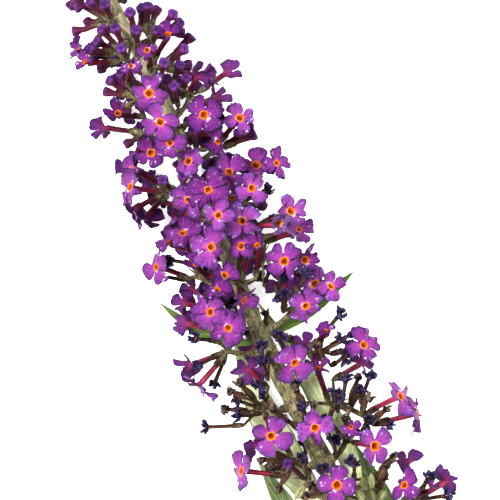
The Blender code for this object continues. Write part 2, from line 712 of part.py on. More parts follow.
def openShell(floret, swell):
    # A four-sided tube that opens into a flat face of four blunt lobes.
    shell = Shell()
    first, second = floret.frame()
    guide = unit(first + second)
    facing = floret.facing
    way = unit(floret.eye - floret.calyx)
    throat = floret.eye - facing * (faceThickness + throatDepth)
    start = floret.calyx - floret.foot + way
    rings = [shell.addRing(ringPoints(floret.foot, start, guide, footRadius * swell, 4))]
    if np.linalg.norm(floret.calyx - floret.foot) > shortestPedicel:
        rings.append(shell.addRing(ringPoints(floret.calyx, way, guide, footRadius, 4)))
    rings.append(shell.addRing(ringPoints(throat, way + facing, guide, tubeRadius, 4)))
    shell.closeFoot(rings[0])
    for lower, upper in zip(rings, rings[1:]):
        shell.join(lower, upper)
    reach = floret.width / 2
    front = []
    for lobe in range(4):
        for turn, out in ((-lobeHalfAngle, 1.0), (lobeHalfAngle, 1.0), (math.pi / 4, notchDepth)):
            angle = math.pi / 2 * lobe + turn
            spot = first * math.cos(angle) + second * math.sin(angle)
            front.append(floret.eye + (spot + facing * floret.cup) * out * reach)
    back = shell.addRing([point - facing * faceThickness for point in front])
    top = shell.addRing(front)
    shell.join(back, top)
    shell.closePoint(top, floret.eye)
    inner = rings[-1]
    for lobe in range(4):
        before = inner[(lobe - 1) % 4]
        after = inner[lobe]
        left = back[3 * lobe]
        right = back[3 * lobe + 1]
        notch = back[3 * lobe + 2]
        shell.faces.append((before, back[(3 * lobe - 1) % 12], left))
        shell.faces.append((before, left, right, after))
        shell.faces.append((after, right, notch))
    return shell


def closedShell(floret, swell):
    # A three-sided tube with a swollen head: a bud, or a withered floret.
    shell = Shell()
    way = unit(floret.eye - floret.calyx)
    guide = np.array([0.31, 0.17, 0.93])
    if abs(guide.dot(way)) > 0.9:
        guide = np.array([0.93, 0.17, 0.31])
    head = floret.eye - way * floret.width * 0.25
    start = floret.calyx - floret.foot + way
    rings = [shell.addRing(ringPoints(floret.foot, start, guide, footRadius * swell, 3))]
    if np.linalg.norm(floret.calyx - floret.foot) > shortestPedicel:
        rings.append(shell.addRing(ringPoints(floret.calyx, way, guide, footRadius, 3)))
    rings.append(shell.addRing(ringPoints(head, way, guide, floret.width * 0.52, 3)))
    shell.closeFoot(rings[0])
    for lower, upper in zip(rings, rings[1:]):
        shell.join(lower, upper)
    shell.closePoint(rings[-1], floret.eye + way * floret.width * 0.3)
    return shell


def floretShell(floret, swell):
    return openShell(floret, swell) if floret.kind == "open" else closedShell(floret, swell)


def hubShell(hub, direction):
    # The small head where the florets of a spray come together.
    shell = Shell()
    guide = np.array([0.2, 0.3, 0.9])
    ring = shell.addRing(ringPoints(hub, direction, guide, hubRadius, 4))
    shell.closePoint(ring, hub + unit(direction) * hubRadius)
    shell.closePoint(list(reversed(ring)), hub - unit(direction) * hubRadius)
    return shell


def stalkShell(points, radius):
    shell = Shell()
    guide = np.array([0.37, 0.21, 0.9])
    rings = []
    for index, point in enumerate(points):
        before = points[max(index - 1, 0)]
        after = points[min(index + 1, len(points) - 1)]
        swell = stalkFlare if index == 0 else 1.0
        rings.append(shell.addRing(ringPoints(point, after - before, guide, radius * swell, 3)))
    shell.closeFoot(rings[0])
    for lower, upper in zip(rings, rings[1:]):
        shell.join(lower, upper)
    shell.faces.append(tuple(rings[-1]))
    return shell


def stemShell():
    # A slightly tapering stem with a swelling wherever sprays or leaves grow.
    nodes = sorted({place[1] for place in sprayPlaces} | {place[1] for place in leafPlaces})
    spots = [(stemLine[0][0], 1.0)]
    for before, after in zip([stemLine[0][0]] + nodes, nodes):
        if after - before > widestPlainRun:
            spots.append(((before + after) / 2, 1.0))
        spots.append((after, nodeSwell))
    spots.append((nodes[-1] + tipStretch, 1.0))
    spots.append((stemLine[-1][0], 1.0))
    shell = Shell()
    guide = np.array([0.0, 0.0, 1.0])
    rings = []
    for along, swell in spots:
        points = ringPoints(stemAt(along), stemDirection(along), guide, stemRadius(along) * swell, stemSides)
        rings.append(shell.addRing(points))
    shell.closeFoot(rings[0])
    for lower, upper in zip(rings, rings[1:]):
        shell.join(lower, upper)
    shell.faces.append(tuple(rings[-1]))
    return shell


def leafShell(middle, halves):
    # A thin blade, folded a little along its midrib, with the same triangles on both faces.
    shell = Shell()
    rows = {"under": [], "upper": []}
    for index, centre in enumerate(middle):
        before = middle[max(index - 1, 0)]
        after = middle[min(index + 1, len(middle) - 1)]
        direction = unit(after - before)
        across = unit(np.cross(direction, np.array([0.0, 0.0, 1.0])))
        above = np.cross(across, direction)
        half = halves[index]
        edge = above * half * leafFold
        points = [centre - across * half + edge, centre, centre + across * half + edge]
        rows["under"].append(shell.addRing(points))
        rows["upper"].append(shell.addRing([point + above * leafThickness for point in points]))
    for before, after in zip(range(len(middle) - 1), range(1, len(middle))):
        for face, flip in (("under", False), ("upper", True)):
            low = rows[face][before]
            high = rows[face][after]
            for a, b in ((0, 1), (1, 2)):
                first = (low[a], low[b], high[b])
                second = (low[a], high[b], high[a])
                shell.faces.extend([first[::-1], second[::-1]] if flip else [first, second])
        for edge in (0, 2):
            shell.faces.append((
                rows["under"][before][edge], rows["under"][after][edge],
                rows["upper"][after][edge], rows["upper"][before][edge],
            ))
    for row in (0, -1):
        under = rows["under"][row]
        upper = rows["upper"][row]
        shell.faces.append((under[0], under[1], upper[1], upper[0]))
        shell.faces.append((under[1], under[2], upper[2], upper[1]))
    return shell


def makeMaterial(name, colour, roughness):
    material = bpy.data.materials.new(name)
    material.use_nodes = True
    shader = material.node_tree.nodes["Principled BSDF"]
    shader.inputs["Base Color"].default_value = (*colour, 1.0)
    shader.inputs["Roughness"].default_value = roughness
    shader.inputs["Metallic"].default_value = 0.0
    return material


def addObject(name, mesh, material):
    thing = bpy.data.objects.new(name, mesh)
    bpy.context.scene.collection.objects.link(thing)
    thing.data.materials.clear()
    thing.data.materials.append(material)
    return thing


def unionOf(thing, shells):
    # One union of the object with the shells; what they were made of is then removed.
    parts = bpy.data.collections.new(thing.name + "_parts")
    bpy.context.scene.collection.children.link(parts)
    for number, shell in enumerate(shells):
        name = "{}_{:02d}".format(thing.name, number)
        parts.objects.link(bpy.data.objects.new(name, shell.mesh(name)))
    union = thing.modifiers.new("union", "BOOLEAN")
    union.operation = "UNION"
    union.operand_type = "COLLECTION"
    union.collection = parts
    union.solver = "MANIFOLD"
    thinner = thing.modifiers.new("thinner", "DECIMATE")
    sound = False
    for share in keptShares:
        thinner.ratio = share
        bpy.context.view_layer.update()
        evaluated = thing.evaluated_get(bpy.context.evaluated_depsgraph_get())
        joined = outerSkin(bpy.data.meshes.new_from_object(evaluated))
        sound = isSound(joined)
        if sound:
            break
    thing.modifiers.clear()
    for part in list(parts.objects):
        bpy.data.objects.remove(part)
    bpy.data.collections.remove(parts)
    return joined, sound


def fuse(thing, makeShells):
    # Joins the shells to the object, with slightly thicker feet where a union comes out unsound.
    for swell in footSwells:
        joined, sound = unionOf(thing, makeShells(swell))
        if sound:
            break
    thing.data = joined


def volumeOf(faces):
    total = 0.0
    for face in faces:
        corners = [vert.co for vert in face.verts]
        for index in range(1, len(corners) - 1):
            total += corners[0].dot(corners[index].cross(corners[index + 1])) / 6.0
    return total


def outerSkin(mesh):
    # Keeps the one outer skin of a union: no slivers, scraps or sealed hollows.
    model = bmesh.new()
    model.from_mesh(mesh)
    bmesh.ops.dissolve_degenerate(model, edges=model.edges[:], dist=mergeGap)
    bmesh.ops.triangulate(model, faces=model.faces[:])
    bmesh.ops.recalc_face_normals(model, faces=model.faces[:])
    left = set(model.faces)
    groups = []
    while left:
        group = {left.pop()}
        edge = list(group)
        while edge:
            face = edge.pop()
            for side in face.edges:
                for other in side.link_faces:
                    if other in left:
                        left.discard(other)
                        group.add(other)
                        edge.append(other)
        groups.append(group)
    groups.sort(key=lambda group: abs(volumeOf(group)))
    for group in groups[:-1]:
        bmesh.ops.delete(model, geom=list(group), context="FACES")
    loose = [vert for vert in model.verts if not vert.link_faces]
    bmesh.ops.delete(model, geom=loose, context="VERTS")
    if volumeOf(model.faces) < 0.0:
        bmesh.ops.reverse_faces(model, faces=model.faces[:])
    model.to_mesh(mesh)
    model.free()
    return mesh


def isSound(mesh):
    # Whether every edge still has two faces once points that nearly meet are one.
    model = bmesh.new()
    model.from_mesh(mesh)
    bmesh.ops.remove_doubles(model, verts=model.verts[:], dist=soundGap)
    corners = {frozenset(vert.index for vert in face.verts) for face in model.faces}
    sound = all(edge.is_manifold for edge in model.edges) and len(corners) == len(model.faces)
    model.free()
    return sound


def makeSpray(spray, material):
    def makeShells(swell):
        shells = [stalkShell(stalk, stalkRadius) for stalk in spray.stalks[1:]]
        shells += [hubShell(hub, hub - spray.stalks[0][0]) for hub in spray.hubs]
        return shells + [floretShell(floret, swell) for floret in spray.florets]

    thing = addObject(spray.name, stalkShell(spray.stalks[0], stalkRadius).mesh(spray.name), material)
    fuse(thing, makeShells)
    return thing


def makeStem(material):
    thing = addObject("stem", stemShell().mesh("stem"), material)
    fuse(thing, lambda swell: [closedShell(floret, swell) for floret in tipFlorets()])
    thing.data.shade_smooth()
    thing.data.set_sharp_from_angle(angle=math.radians(60.0))
    return thing


def standOnSurface(things):
    # Moves everything so that the middle of its box's underside is at the origin.
    bpy.context.view_layer.update()
    corners = np.array([thing.matrix_world @ vert.co for thing in things for vert in thing.data.vertices])
    low = corners.min(axis=0)
    high = corners.max(axis=0)
    for thing in things:
        thing.location = (-(low[0] + high[0]) / 2, -(low[1] + high[1]) / 2, -low[2])
    bpy.context.view_layer.update()


def sprayMaterial(spray, materials):
    # The finish that most of a spray's florets have.
    counts = {}
    for floret in spray.florets:
        counts[floret.kind] = counts.get(floret.kind, 0) + (2 if floret.kind == "open" else 1)
    most = max(counts, key=counts.get)
    if most == "open":
        return materials["petal"]
    return materials["bud"] if most in ("bud", "green") else materials["withered"]


def main():
    for thing in list(bpy.data.objects):
        bpy.data.objects.remove(thing)
    materials = {
        "stem": makeMaterial("stem_felt", (0.34, 0.35, 0.20), 0.85),
        "petal": makeMaterial("petal_purple", (0.45, 0.07, 0.52), 0.55),
        "bud": makeMaterial("bud_plum", (0.16, 0.03, 0.20), 0.6),
        "withered": makeMaterial("withered_dark", (0.06, 0.03, 0.07), 0.75),
        "leaf": makeMaterial("leaf_green", (0.28, 0.42, 0.16), 0.7),
    }
    sprays, leaves = planSpike()
    things = [makeStem(materials["stem"])]
    for spray in sprays:
        things.append(makeSpray(spray, sprayMaterial(spray, materials)))
    for name, middle, halves in leaves:
        things.append(addObject(name, leafShell(middle, halves).mesh(name), materials["leaf"]))
    standOnSurface(things)


if __name__ == "__main__":
    main()
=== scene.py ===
import copy
import json
import math
import random

import bpy
import mathutils
import numpy as np
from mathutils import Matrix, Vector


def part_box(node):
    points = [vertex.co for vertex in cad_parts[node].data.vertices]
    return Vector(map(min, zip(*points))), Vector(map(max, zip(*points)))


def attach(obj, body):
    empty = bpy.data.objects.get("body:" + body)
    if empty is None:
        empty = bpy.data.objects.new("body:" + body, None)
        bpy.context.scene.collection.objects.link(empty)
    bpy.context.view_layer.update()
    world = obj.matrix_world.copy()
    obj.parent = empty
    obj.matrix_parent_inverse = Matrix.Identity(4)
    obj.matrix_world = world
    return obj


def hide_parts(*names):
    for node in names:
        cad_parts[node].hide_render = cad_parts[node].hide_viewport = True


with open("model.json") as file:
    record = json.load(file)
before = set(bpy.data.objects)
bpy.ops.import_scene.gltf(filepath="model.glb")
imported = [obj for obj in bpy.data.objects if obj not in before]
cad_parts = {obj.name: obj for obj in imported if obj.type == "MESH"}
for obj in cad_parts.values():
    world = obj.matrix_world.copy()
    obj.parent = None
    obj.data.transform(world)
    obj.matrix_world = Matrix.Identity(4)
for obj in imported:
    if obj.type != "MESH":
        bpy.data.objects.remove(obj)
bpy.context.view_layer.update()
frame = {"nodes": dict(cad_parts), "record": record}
print("frame loaded:", len(frame["nodes"]), "solids")

# A cut flower spike of a butterfly bush, lying on a pale surface and seen from above.
# Lengths are in millimetres until a mesh is written. The places of the florets are worked out
# as they are for the solids, so that each fine floret stands where its solid is.
metre = 0.001

# The picture shows the spike from straight above, leaning to the left of upright.
# A place in it is given in pixels across and down its 500 by 500 frame.
pixelsPerMm = 5.0
pictureMiddle = 250.0
pictureLean = math.radians(24.3)
eyeDistance = 500.0
stemPlane = 16.0
sideShift = 4.65
upward = np.array([0.0, 0.0, 1.0])

# The stem's line: along Y, across X, height Z and radius.
stemLine = (
    (-108.0, 2.6, 15.5, 1.95),
    (-80.0, 1.7, 18.4, 1.85),
    (-53.0, 0.9, 19.0, 1.70),
    (-31.0, 0.0, 18.2, 1.50),
    (-16.0, -0.4, 17.3, 1.35),
    (-2.0, 0.0, 16.4, 1.25),
    (10.0, -0.1, 15.6, 1.20),
    (20.0, -0.1, 14.9, 1.15),
    (31.0, 1.3, 14.2, 1.05),
    (42.0, 0.6, 13.4, 0.98),
    (52.0, 0.2, 12.6, 0.92),
    (70.0, -1.2, 10.9, 0.75),
    (86.0, -3.0, 9.0, 0.55),
    (97.0, -4.6, 7.4, 0.40),
)
nodeSwell = 1.25
seat = 0.35

# A spray's stalk leaves the stem at this angle, and is this long at each place along the stem.
stalkAngle = math.radians(56.0)
stalkLengths = (
    (-62.0, 7.5), (-30.0, 7.0), (0.0, 6.0), (30.0, 5.4), (50.0, 4.6), (62.0, 3.4), (84.0, 1.3),
)
stalkRadius = 0.62
stalkBend = 0.45
hubRadius = 1.3
footDepth = 0.55

# Half the width of the spike at each place along the stem.
halfWidths = (
    (-75.0, 21.0), (-48.0, 20.5), (-10.0, 18.0), (15.0, 16.8), (35.0, 14.0), (57.0, 10.0), (98.0, 3.0),
)

# A floret: calyx and tube, then a flat face of four lobes.
floretLength = 8.9
longestPedicel = 5.5
shortestFloret = 5.5
shortestPedicel = 0.5
pedicelShow = 0.3

# Places and sizes that a floret is tried in until it keeps clear of the other sprays.
clearance = 0.34
nearReach = 14.0
likeliestHubs = 5
backCost = 6.0
crossingCost = 0.5
facingLifts = (0.0, 1.0, -1.0, 2.0, -2.0, 3.2, -3.2, 4.6)
facingStretches = (0.6, 2.6, 4.6)
facingLean = 0.9
sideLifts = (0.0, 1.2, -1.2, 2.4, -2.4, 4.0, -4.0, 6.0)
sideSpin = 20.0
facingSpread = 2.0
# The cup of a face is how far its lobes lean forwards; narrow ones seen from the side lean more.
facingCup = 0.1
sideCups = (0.12, 0.45)
narrowFace = 5.5
hiddenCup = 0.15

# The balls that stand for a floret while room is found: radii, their step along a tube,
# and the places on a lobe as a turn in degrees and a share of the face's reach.
pedicelBall = 0.55
tubeBall = 0.95
lobeBall = 0.5
ballStep = 0.8
lobeBalls = ((0, 0.45), (-13, 0.72), (13, 0.72), (-19, 0.95), (0, 0.97), (19, 0.95))

# Length from the calyx and width of each kind: where the picture shows it, and elsewhere.
seenSizes = {"bud": (6.6, 2.1), "green": (3.2, 1.5), "withered": (6.6, 2.7), "dry": (5.2, 2.9)}
hiddenSizes = {
    "open": (8.9, 6.4), "bud": (6.8, 2.1), "green": (4.0, 1.5), "withered": (7.2, 2.7),
    "dry": (5.6, 2.9),
}
# What grows above each place along the stem, as shares that add up from kind to kind.
hiddenKinds = (
    (44.0, (("bud", 1.0),)),
    (15.0, (("open", 0.65), ("bud", 1.0))),
    (-15.0, (("open", 0.6), ("bud", 0.72), ("withered", 1.0))),
    (-42.0, (("open", 0.4), ("withered", 0.82), ("dry", 1.0))),
    (-110.0, (("open", 0.34), ("withered", 0.66), ("dry", 0.94), ("green", 1.0))),
)
hiddenCounts = {"front": 3, "back": 7, "left": 5, "right": 5}
tipCount = 5
buddingFrom = 44.0
seenFrom = -54.0
seenTo = 56.0
spreadTilts = (12.0, 78.0)
frontRise = 0.12
tipShrink = ((56.0, 1.0), (96.0, 0.36))
# A face that comes this near to the surface lies flat on it, looking straight down.
pressedReach = 2.7
pressedNeck = 1.6
facesDown = -0.99

# The sprays in pairs from the tip down: name, place along the stem, and the stalk's end as
# pixels across and down with its height above the stem. Where no end is given it follows
# from the side that the spray grows on.
sprayPlaces = (
    ("cyme_01_left", 73.0, ()),
    ("cyme_01_right", 73.0, ()),
    ("cyme_02_front", 66.5, ()),
    ("cyme_02_back", 66.5, ()),
    ("cyme_03_left", 60.5, ()),
    ("cyme_03_right", 60.5, ()),
    ("cyme_04_front", 55.0, ()),
    ("cyme_04_back", 55.0, ()),
    ("cyme_05_left", 50.0, ((110, 22, 1.5),)),
    ("cyme_05_right", 50.0, ((149, 34, 1.0),)),
    ("cyme_06_front", 45.0, ()),
    ("cyme_06_back", 45.0, ()),
    ("cyme_07_left", 44.0, ((125, 58, 1.0),)),
    ("cyme_07_right", 41.0, ((159, 67, 1.0),)),
    ("cyme_08_front", 35.5, ()),
    ("cyme_08_back", 35.5, ()),
    ("cyme_09_left", 35.0, ((139, 98, 1.5),)),
    ("cyme_09_right", 31.0, ((190, 95, 1.5),)),
    ("cyme_10_front", 24.5, ()),
    ("cyme_10_back", 24.5, ()),
    ("cyme_11_left", 27.0, ((149, 131, 1.0),)),
    ("cyme_11_right", 20.5, ((217, 147, 0.5),)),
    ("cyme_12_front", 13.0, ()),
    ("cyme_12_back", 13.0, ()),
    ("cyme_13_left", 16.0, ((172, 188, 0.5),)),
    ("cyme_13_right", 9.5, ((236, 204, 1.5),)),
    ("cyme_14_front", 3.0, ()),
    ("cyme_14_back", 3.0, ()),
    ("cyme_15_left", -4.5, ((198, 276, 1.0),)),
    ("cyme_15_right", -1.0, ((263, 255, 1.5),)),
    ("cyme_16_front", -9.0, ()),
    ("cyme_16_back", -9.0, ()),
    ("cyme_17_left", -12.0, ((231, 315, 2.0),)),
    ("cyme_17_right", -16.0, ((298, 303, 1.5),)),
    ("cyme_18_front", -24.5, ()),
    ("cyme_18_back", -21.0, ()),
    ("cyme_19_left", -19.0, ((228, 351, 0.0),)),
    ("cyme_19_right", -27.0, ((320, 352, 1.0),)),
    ("cyme_20_left", -31.5, ((263, 405, 0.5),)),
    ("cyme_20_right", -38.0, ((334, 404, 2.0), (368, 418, 0.0))),
    ("cyme_21_front", -41.0, ()),
    ("cyme_22_left", -44.0, ((294, 461, 1.0),)),
    ("cyme_22_right", -44.5, ((346, 441, 1.5),)),
    ("cyme_23_front", -54.0, ()),
    ("cyme_24_left", -51.0, ((308, 479, -1.0),)),
    ("cyme_24_right", -52.0, ((372, 479, 1.0),)),
    ("cyme_25_left", -61.0, ()),
    ("cyme_25_right", -61.0, ((412, 503, 0.5),)),
)
sideAngles = {"front": 0.0, "right": 90.0, "back": 180.0, "left": 270.0}

# Open florets turned to the eye: across, down, width, and the turn of one lobe in degrees.
facingFlorets = (
    (208, 190, 8.4, 60), (211, 247, 8.4, 75), (271, 436, 8.0, 68), (295, 363, 7.8, 45),
    (210, 312, 7.6, 56), (228, 328, 6.8, 15), (337, 485, 7.4, 85), (404, 485, 6.4, 40),
    (375, 446, 7.4, 45), (306, 306, 6.8, 60), (315, 428, 7.0, 15), (244, 300, 5.4, 56),
    (149, 93, 6.8, 80), (160, 122, 6.6, 20), (170, 143, 5.4, 0), (204, 115, 6.6, 35),
    (229, 172, 7.0, 45), (256, 165, 6.6, 85), (252, 188, 6.4, 30), (232, 198, 5.8, 20),
    (218, 215, 6.4, 80), (242, 221, 6.6, 45), (241, 246, 5.6, 30), (284, 261, 7.0, 50),
    (188, 200, 6.4, 45), (183, 233, 6.6, 75), (315, 284, 6.4, 65), (225, 275, 5.0, 80),
    (151, 153, 5.8, 30), (351, 427, 3.6, 20),
)
# Open florets seen from the side or from behind: across, down, width, then the calyx's foot
# across and down, and how far the face turns up to the eye, from 1 to -1.
sideFlorets = (
    (241, 471, 6.8, 284, 476, 0.25), (401, 396, 6.8, 367, 413, 0.20), (418, 413, 6.8, 376, 423, 0.0),
    (447, 481, 5.6, 413, 502, -0.2), (364, 345, 6.2, 331, 354, 0.30), (361, 363, 5.0, 333, 380, -0.3),
    (318, 368, 5.0, 329, 403, 0.40), (250, 371, 5.8, 268, 388, -0.5), (185, 303, 5.0, 214, 311, -0.4),
    (187, 323, 5.0, 214, 331, -0.4), (156, 267, 6.0, 189, 278, 0.0), (192, 290, 4.6, 214, 302, -0.1),
    (130, 187, 6.8, 167, 192, 0.10), (132, 168, 5.6, 168, 188, 0.0), (103, 128, 5.0, 142, 132, -0.3),
    (118, 113, 5.2, 143, 117, 0.40), (291, 211, 6.0, 260, 224, 0.10), (299, 229, 5.6, 266, 242, 0.10),
    (277, 163, 5.6, 243, 172, 0.10), (240, 118, 5.6, 220, 142, 0.0), (227, 73, 5.4, 199, 92, -0.1),
    (203, 77, 5.4, 186, 96, 0.50), (188, 161, 5.8, 199, 184, 0.50), (170, 242, 5.0, 196, 252, 0.10),
    (158, 200, 4.4, 184, 208, -0.2), (305, 260, 5.4, 276, 272, 0.30), (331, 286, 5.6, 301, 297, 0.20),
    (196, 264, 4.8, 214, 283, 0.40), (152, 180, 4.6, 172, 190, -0.1), (257, 245, 4.8, 256, 278, 0.50),
    (79, 50, 4.4, 116, 55, 0.0), (85, 62, 4.0, 118, 62, 0.0), (131, 66, 3.8, 128, 86, 0.40),
    (147, 50, 3.8, 151, 72, 0.30), (218, 142, 4.8, 201, 150, 0.50), (217, 97, 5.2, 197, 106, -0.1),
    (287, 232, 5.2, 262, 238, -0.1), (279, 223, 5.0, 250, 226, 0.10), (168, 34, 4.6, 152, 64, 0.10),
    (432, 487, 2.6, 402, 500, 0.0), (326, 331, 3.6, 312, 346, 0.40), (244, 132, 4.0, 223, 147, 0.0),
    (288, 287, 4.4, 283, 312, -0.2), (305, 345, 4.8, 312, 358, -0.1), (217, 290, 4.8, 232, 312, 0.20),
)
# Buds: head across and down, then the calyx's foot.
buds = (
    (102, 29, 120, 50), (115, 28, 124, 50), (97, 41, 119, 52), (94, 55, 121, 58),
    (110, 80, 133, 97), (121, 73, 138, 92), (148, 6, 147, 32), (173, 14, 159, 30),
    (180, 23, 160, 36), (191, 37, 167, 62), (184, 49, 166, 66), (158, 78, 165, 96),
    (174, 86, 178, 106), (75, 1, 109, 22), (90, 2, 111, 20), (105, 4, 113, 22),
    (130, 12, 134, 30), (142, 8, 143, 30), (164, 63, 160, 80), (193, 130, 197, 150),
    (254, 135, 224, 148), (229, 157, 226, 176), (163, 180, 170, 190), (148, 140, 158, 152),
    (183, 176, 182, 196), (288, 464, 304, 479), (121, 48, 128, 60), (112, 62, 126, 66),
    (196, 316, 214, 322), (180, 65, 172, 84), (186, 78, 182, 98), (90, 48, 112, 52),
    (157, 30, 152, 44), (136, 30, 138, 48),
)
greenBuds = (
    (363, 478, 366, 490), (371, 475, 372, 489), (371, 491, 374, 500), (385, 492, 380, 500),
    (358, 492, 362, 501),
)
# Withered florets, dark and dry: head across and down, then the foot.
witheredFlorets = (
    (195, 339, 216, 341), (199, 365, 224, 352), (206, 427, 244, 425), (238, 416, 262, 413),
    (340, 315, 325, 332), (344, 340, 321, 352), (352, 334, 330, 346), (345, 356, 331, 366),
    (346, 379, 342, 402), (370, 376, 360, 402), (336, 394, 338, 412), (360, 391, 348, 412),
    (390, 425, 372, 424), (368, 421, 362, 432), (334, 440, 336, 458), (354, 462, 354, 480),
    (263, 362, 268, 380), (262, 394, 270, 410), (258, 385, 268, 398), (261, 347, 262, 362),
    (278, 337, 286, 352), (281, 295, 284, 312), (270, 270, 264, 286), (283, 277, 276, 292),
    (307, 275, 296, 292), (222, 120, 214, 138), (203, 228, 216, 240), (170, 260, 192, 264),
    (163, 276, 186, 280), (203, 294, 214, 306), (240, 281, 240, 298), (233, 303, 240, 316),
    (303, 458, 310, 474), (322, 468, 322, 486), (302, 407, 306, 424), (296, 384, 300, 402),
    (237, 400, 262, 408), (431, 478, 414, 496), (272, 218, 256, 232), (289, 264, 280, 280),
)
dryFlorets = (
    (231, 391, 246, 398), (240, 383, 256, 400), (226, 409, 250, 412), (290, 338, 298, 352),
    (296, 390, 304, 404), (358, 378, 350, 404), (368, 397, 362, 412), (387, 409, 372, 420),
    (394, 456, 380, 470), (385, 477, 378, 490), (262, 460, 284, 462), (272, 468, 290, 468),
    (306, 496, 318, 494), (311, 484, 320, 490), (313, 405, 312, 420), (345, 418, 348, 434),
    (387, 466, 378, 480), (286, 420, 300, 430), (272, 408, 284, 420), (318, 345, 320, 360),
)

# Leaves: name, place along the stem, tip as pixels across and down with its height above the
# surface, greatest width, and how far along the blade it is reached.
leafPlaces = (
    ("leaf_bract_left", -17.0, (160, 303, 9.5), 5.0, 0.42),
    ("leaf_bract_right", -17.0, (353, 272, 9.0), 5.6, 0.42),
    ("leaf_upper_left", -56.0, (234, 343, 3.4), 14.5, 0.55),
    ("leaf_upper_right", -56.0, (256, 300, 6.4), 11.5, 0.50),
    ("leaf_lower_left", -79.0, (257, 458, 0.0), 12.0, 0.55),
    ("leaf_lower_right", -79.0, (338, 426, 0.0), 12.0, 0.55),
)
leafThickness = 0.62
leafStations = 8
leafFold = 0.16
leafDroop = 0.55
narrowestHalf = 0.45
tipHalf = 0.12
leafBall = 0.8
leafBallLift = 0.3

# The buds on the very end of the stem.
tipBudLevels = (81.0, 86.0, 90.5, 94.5)
tipBudLength = 4.4
tipBudWidth = 1.7
tipBudShrink = 0.62

randomSeed = 27


def unit(vector):
    return vector / np.linalg.norm(vector)


def units(vectors):
    return vectors / np.linalg.norm(vectors, axis=-1, keepdims=True)


def squareTo(axis, vector):
    # The direction nearest to a vector that is square to an axis.
    return unit(vector - axis * vector.dot(axis))


def turned(first, second, angle):
    return first * math.cos(angle) + second * math.sin(angle)


def readLine(line, column, along):
    # A smooth curve through the rows of a table, read at one place.
    rows = np.array(line)
    places = rows[:, 0]
    slopes = np.gradient(rows[:, column], places)
    index = int(np.clip(np.searchsorted(places, along) - 1, 0, len(places) - 2))
    step = places[index + 1] - places[index]
    t = float(np.clip((along - places[index]) / step, 0.0, 1.0))
    return (
        (2 * t ** 3 - 3 * t ** 2 + 1) * rows[index, column]
        + (t ** 3 - 2 * t ** 2 + t) * step * slopes[index]
        + (3 * t ** 2 - 2 * t ** 3) * rows[index + 1, column]
        + (t ** 3 - t ** 2) * step * slopes[index + 1]
    )


def stemAt(along):
    return np.array([readLine(stemLine, 1, along), along, readLine(stemLine, 2, along)])


def stemDirection(along):
    return unit(stemAt(along + 0.5) - stemAt(along - 0.5))


def stemRadius(along):
    return readLine(stemLine, 3, along)


def roundStem(along, angle):
    # A direction square to the stem, turned round it from straight up.
    return squareTo(stemDirection(along), np.array([math.sin(angle), 0.0, math.cos(angle)]))


def placed(across, down, height):
    # The place at this height that the picture shows at these pixels.
    scale = (eyeDistance - (height - stemPlane)) / eyeDistance / pixelsPerMm
    right = (across - pictureMiddle) * scale
    up = (pictureMiddle - down) * scale
    x = right * math.cos(pictureLean) + up * math.sin(pictureLean) + sideShift
    y = up * math.cos(pictureLean) - right * math.sin(pictureLean)
    return np.array([x, y, height])


def curveAt(start, pull, end, steps):
    # Points of a curve between two ends, drawn towards a third point.
    steps = np.reshape(steps, (-1, 1))
    return (1 - steps) ** 2 * start + 2 * steps * (1 - steps) * pull + steps ** 2 * end


def curvePoints(start, pull, end, count):
    return curveAt(start, pull, end, np.linspace(0.0, 1.0, count))


class Spray:
    # A stalk from the stem with one or two heads that florets grow from.
    def __init__(self, name, along, ends):
        self.name = name
        self.along = along
        self.side = name.split("_")[2]
        self.florets = []
        centre = stemAt(along)
        direction = stemDirection(along)
        self.out = roundStem(along, math.radians(sideAngles[self.side]))
        if ends:
            self.hubs = [placed(across, down, centre[2] + lift) for across, down, lift in ends]
            self.out = squareTo(direction, self.hubs[0] - centre)
        else:
            length = np.interp(along, *zip(*stalkLengths))
            reach = self.out * math.sin(stalkAngle) + direction * math.cos(stalkAngle)
            self.hubs = [centre + reach * length]
        first = self.hubs[0]
        foot = centre + self.out * (stemRadius(along) * nodeSwell + seat)
        pull = foot + self.out * stalkBend * np.linalg.norm(first - foot)
        self.stalks = [curvePoints(foot, pull, first, 4)]
        for hub in self.hubs[1:]:
            self.stalks.append(curvePoints(first, (first + hub) / 2 + np.array([0.0, 1.0, 0.0]), hub, 3))


def ballRows(balls):
    centres, radii, faces = zip(*balls)
    return np.array(centres), np.array(radii), np.array(faces)


class Space:
    # What is already placed: balls, whether each is part of a face, and their owners' numbers.
    def __init__(self):
        self.centres = np.zeros((0, 3))
        self.radii = np.zeros(0)
        self.faces = np.zeros(0, dtype=bool)
        self.owners = np.zeros(0, dtype=int)

    def add(self, balls, owner):
        centres, radii, faces = ballRows(balls)
        self.centres = np.vstack([self.centres, centres])
        self.radii = np.append(self.radii, radii)
        self.faces = np.append(self.faces, faces)
        self.owners = np.append(self.owners, [owner] * len(balls))

    def crossings(self, balls, owner):
        # How many balls touch another owner's, and how many faces touch one of the same owner.
        centres, radii, isFace = ballRows(balls)
        near = np.linalg.norm(self.centres - centres.mean(axis=0), axis=1) < nearReach
        if not near.any():
            return 0, 0
        gaps = np.linalg.norm(centres[:, None, :] - self.centres[near][None, :, :], axis=2)
        gaps = gaps - radii[:, None] - self.radii[near][None, :]
        others = self.owners[near] != owner
        hard = int((gaps[:, others] < clearance).sum())
        touching = gaps[:, ~others] < 0.0
        faces = isFace[:, None] | self.faces[near][~others][None, :]
        return hard, float((touching & faces).sum() + 0.5 * (touching & ~faces).sum())


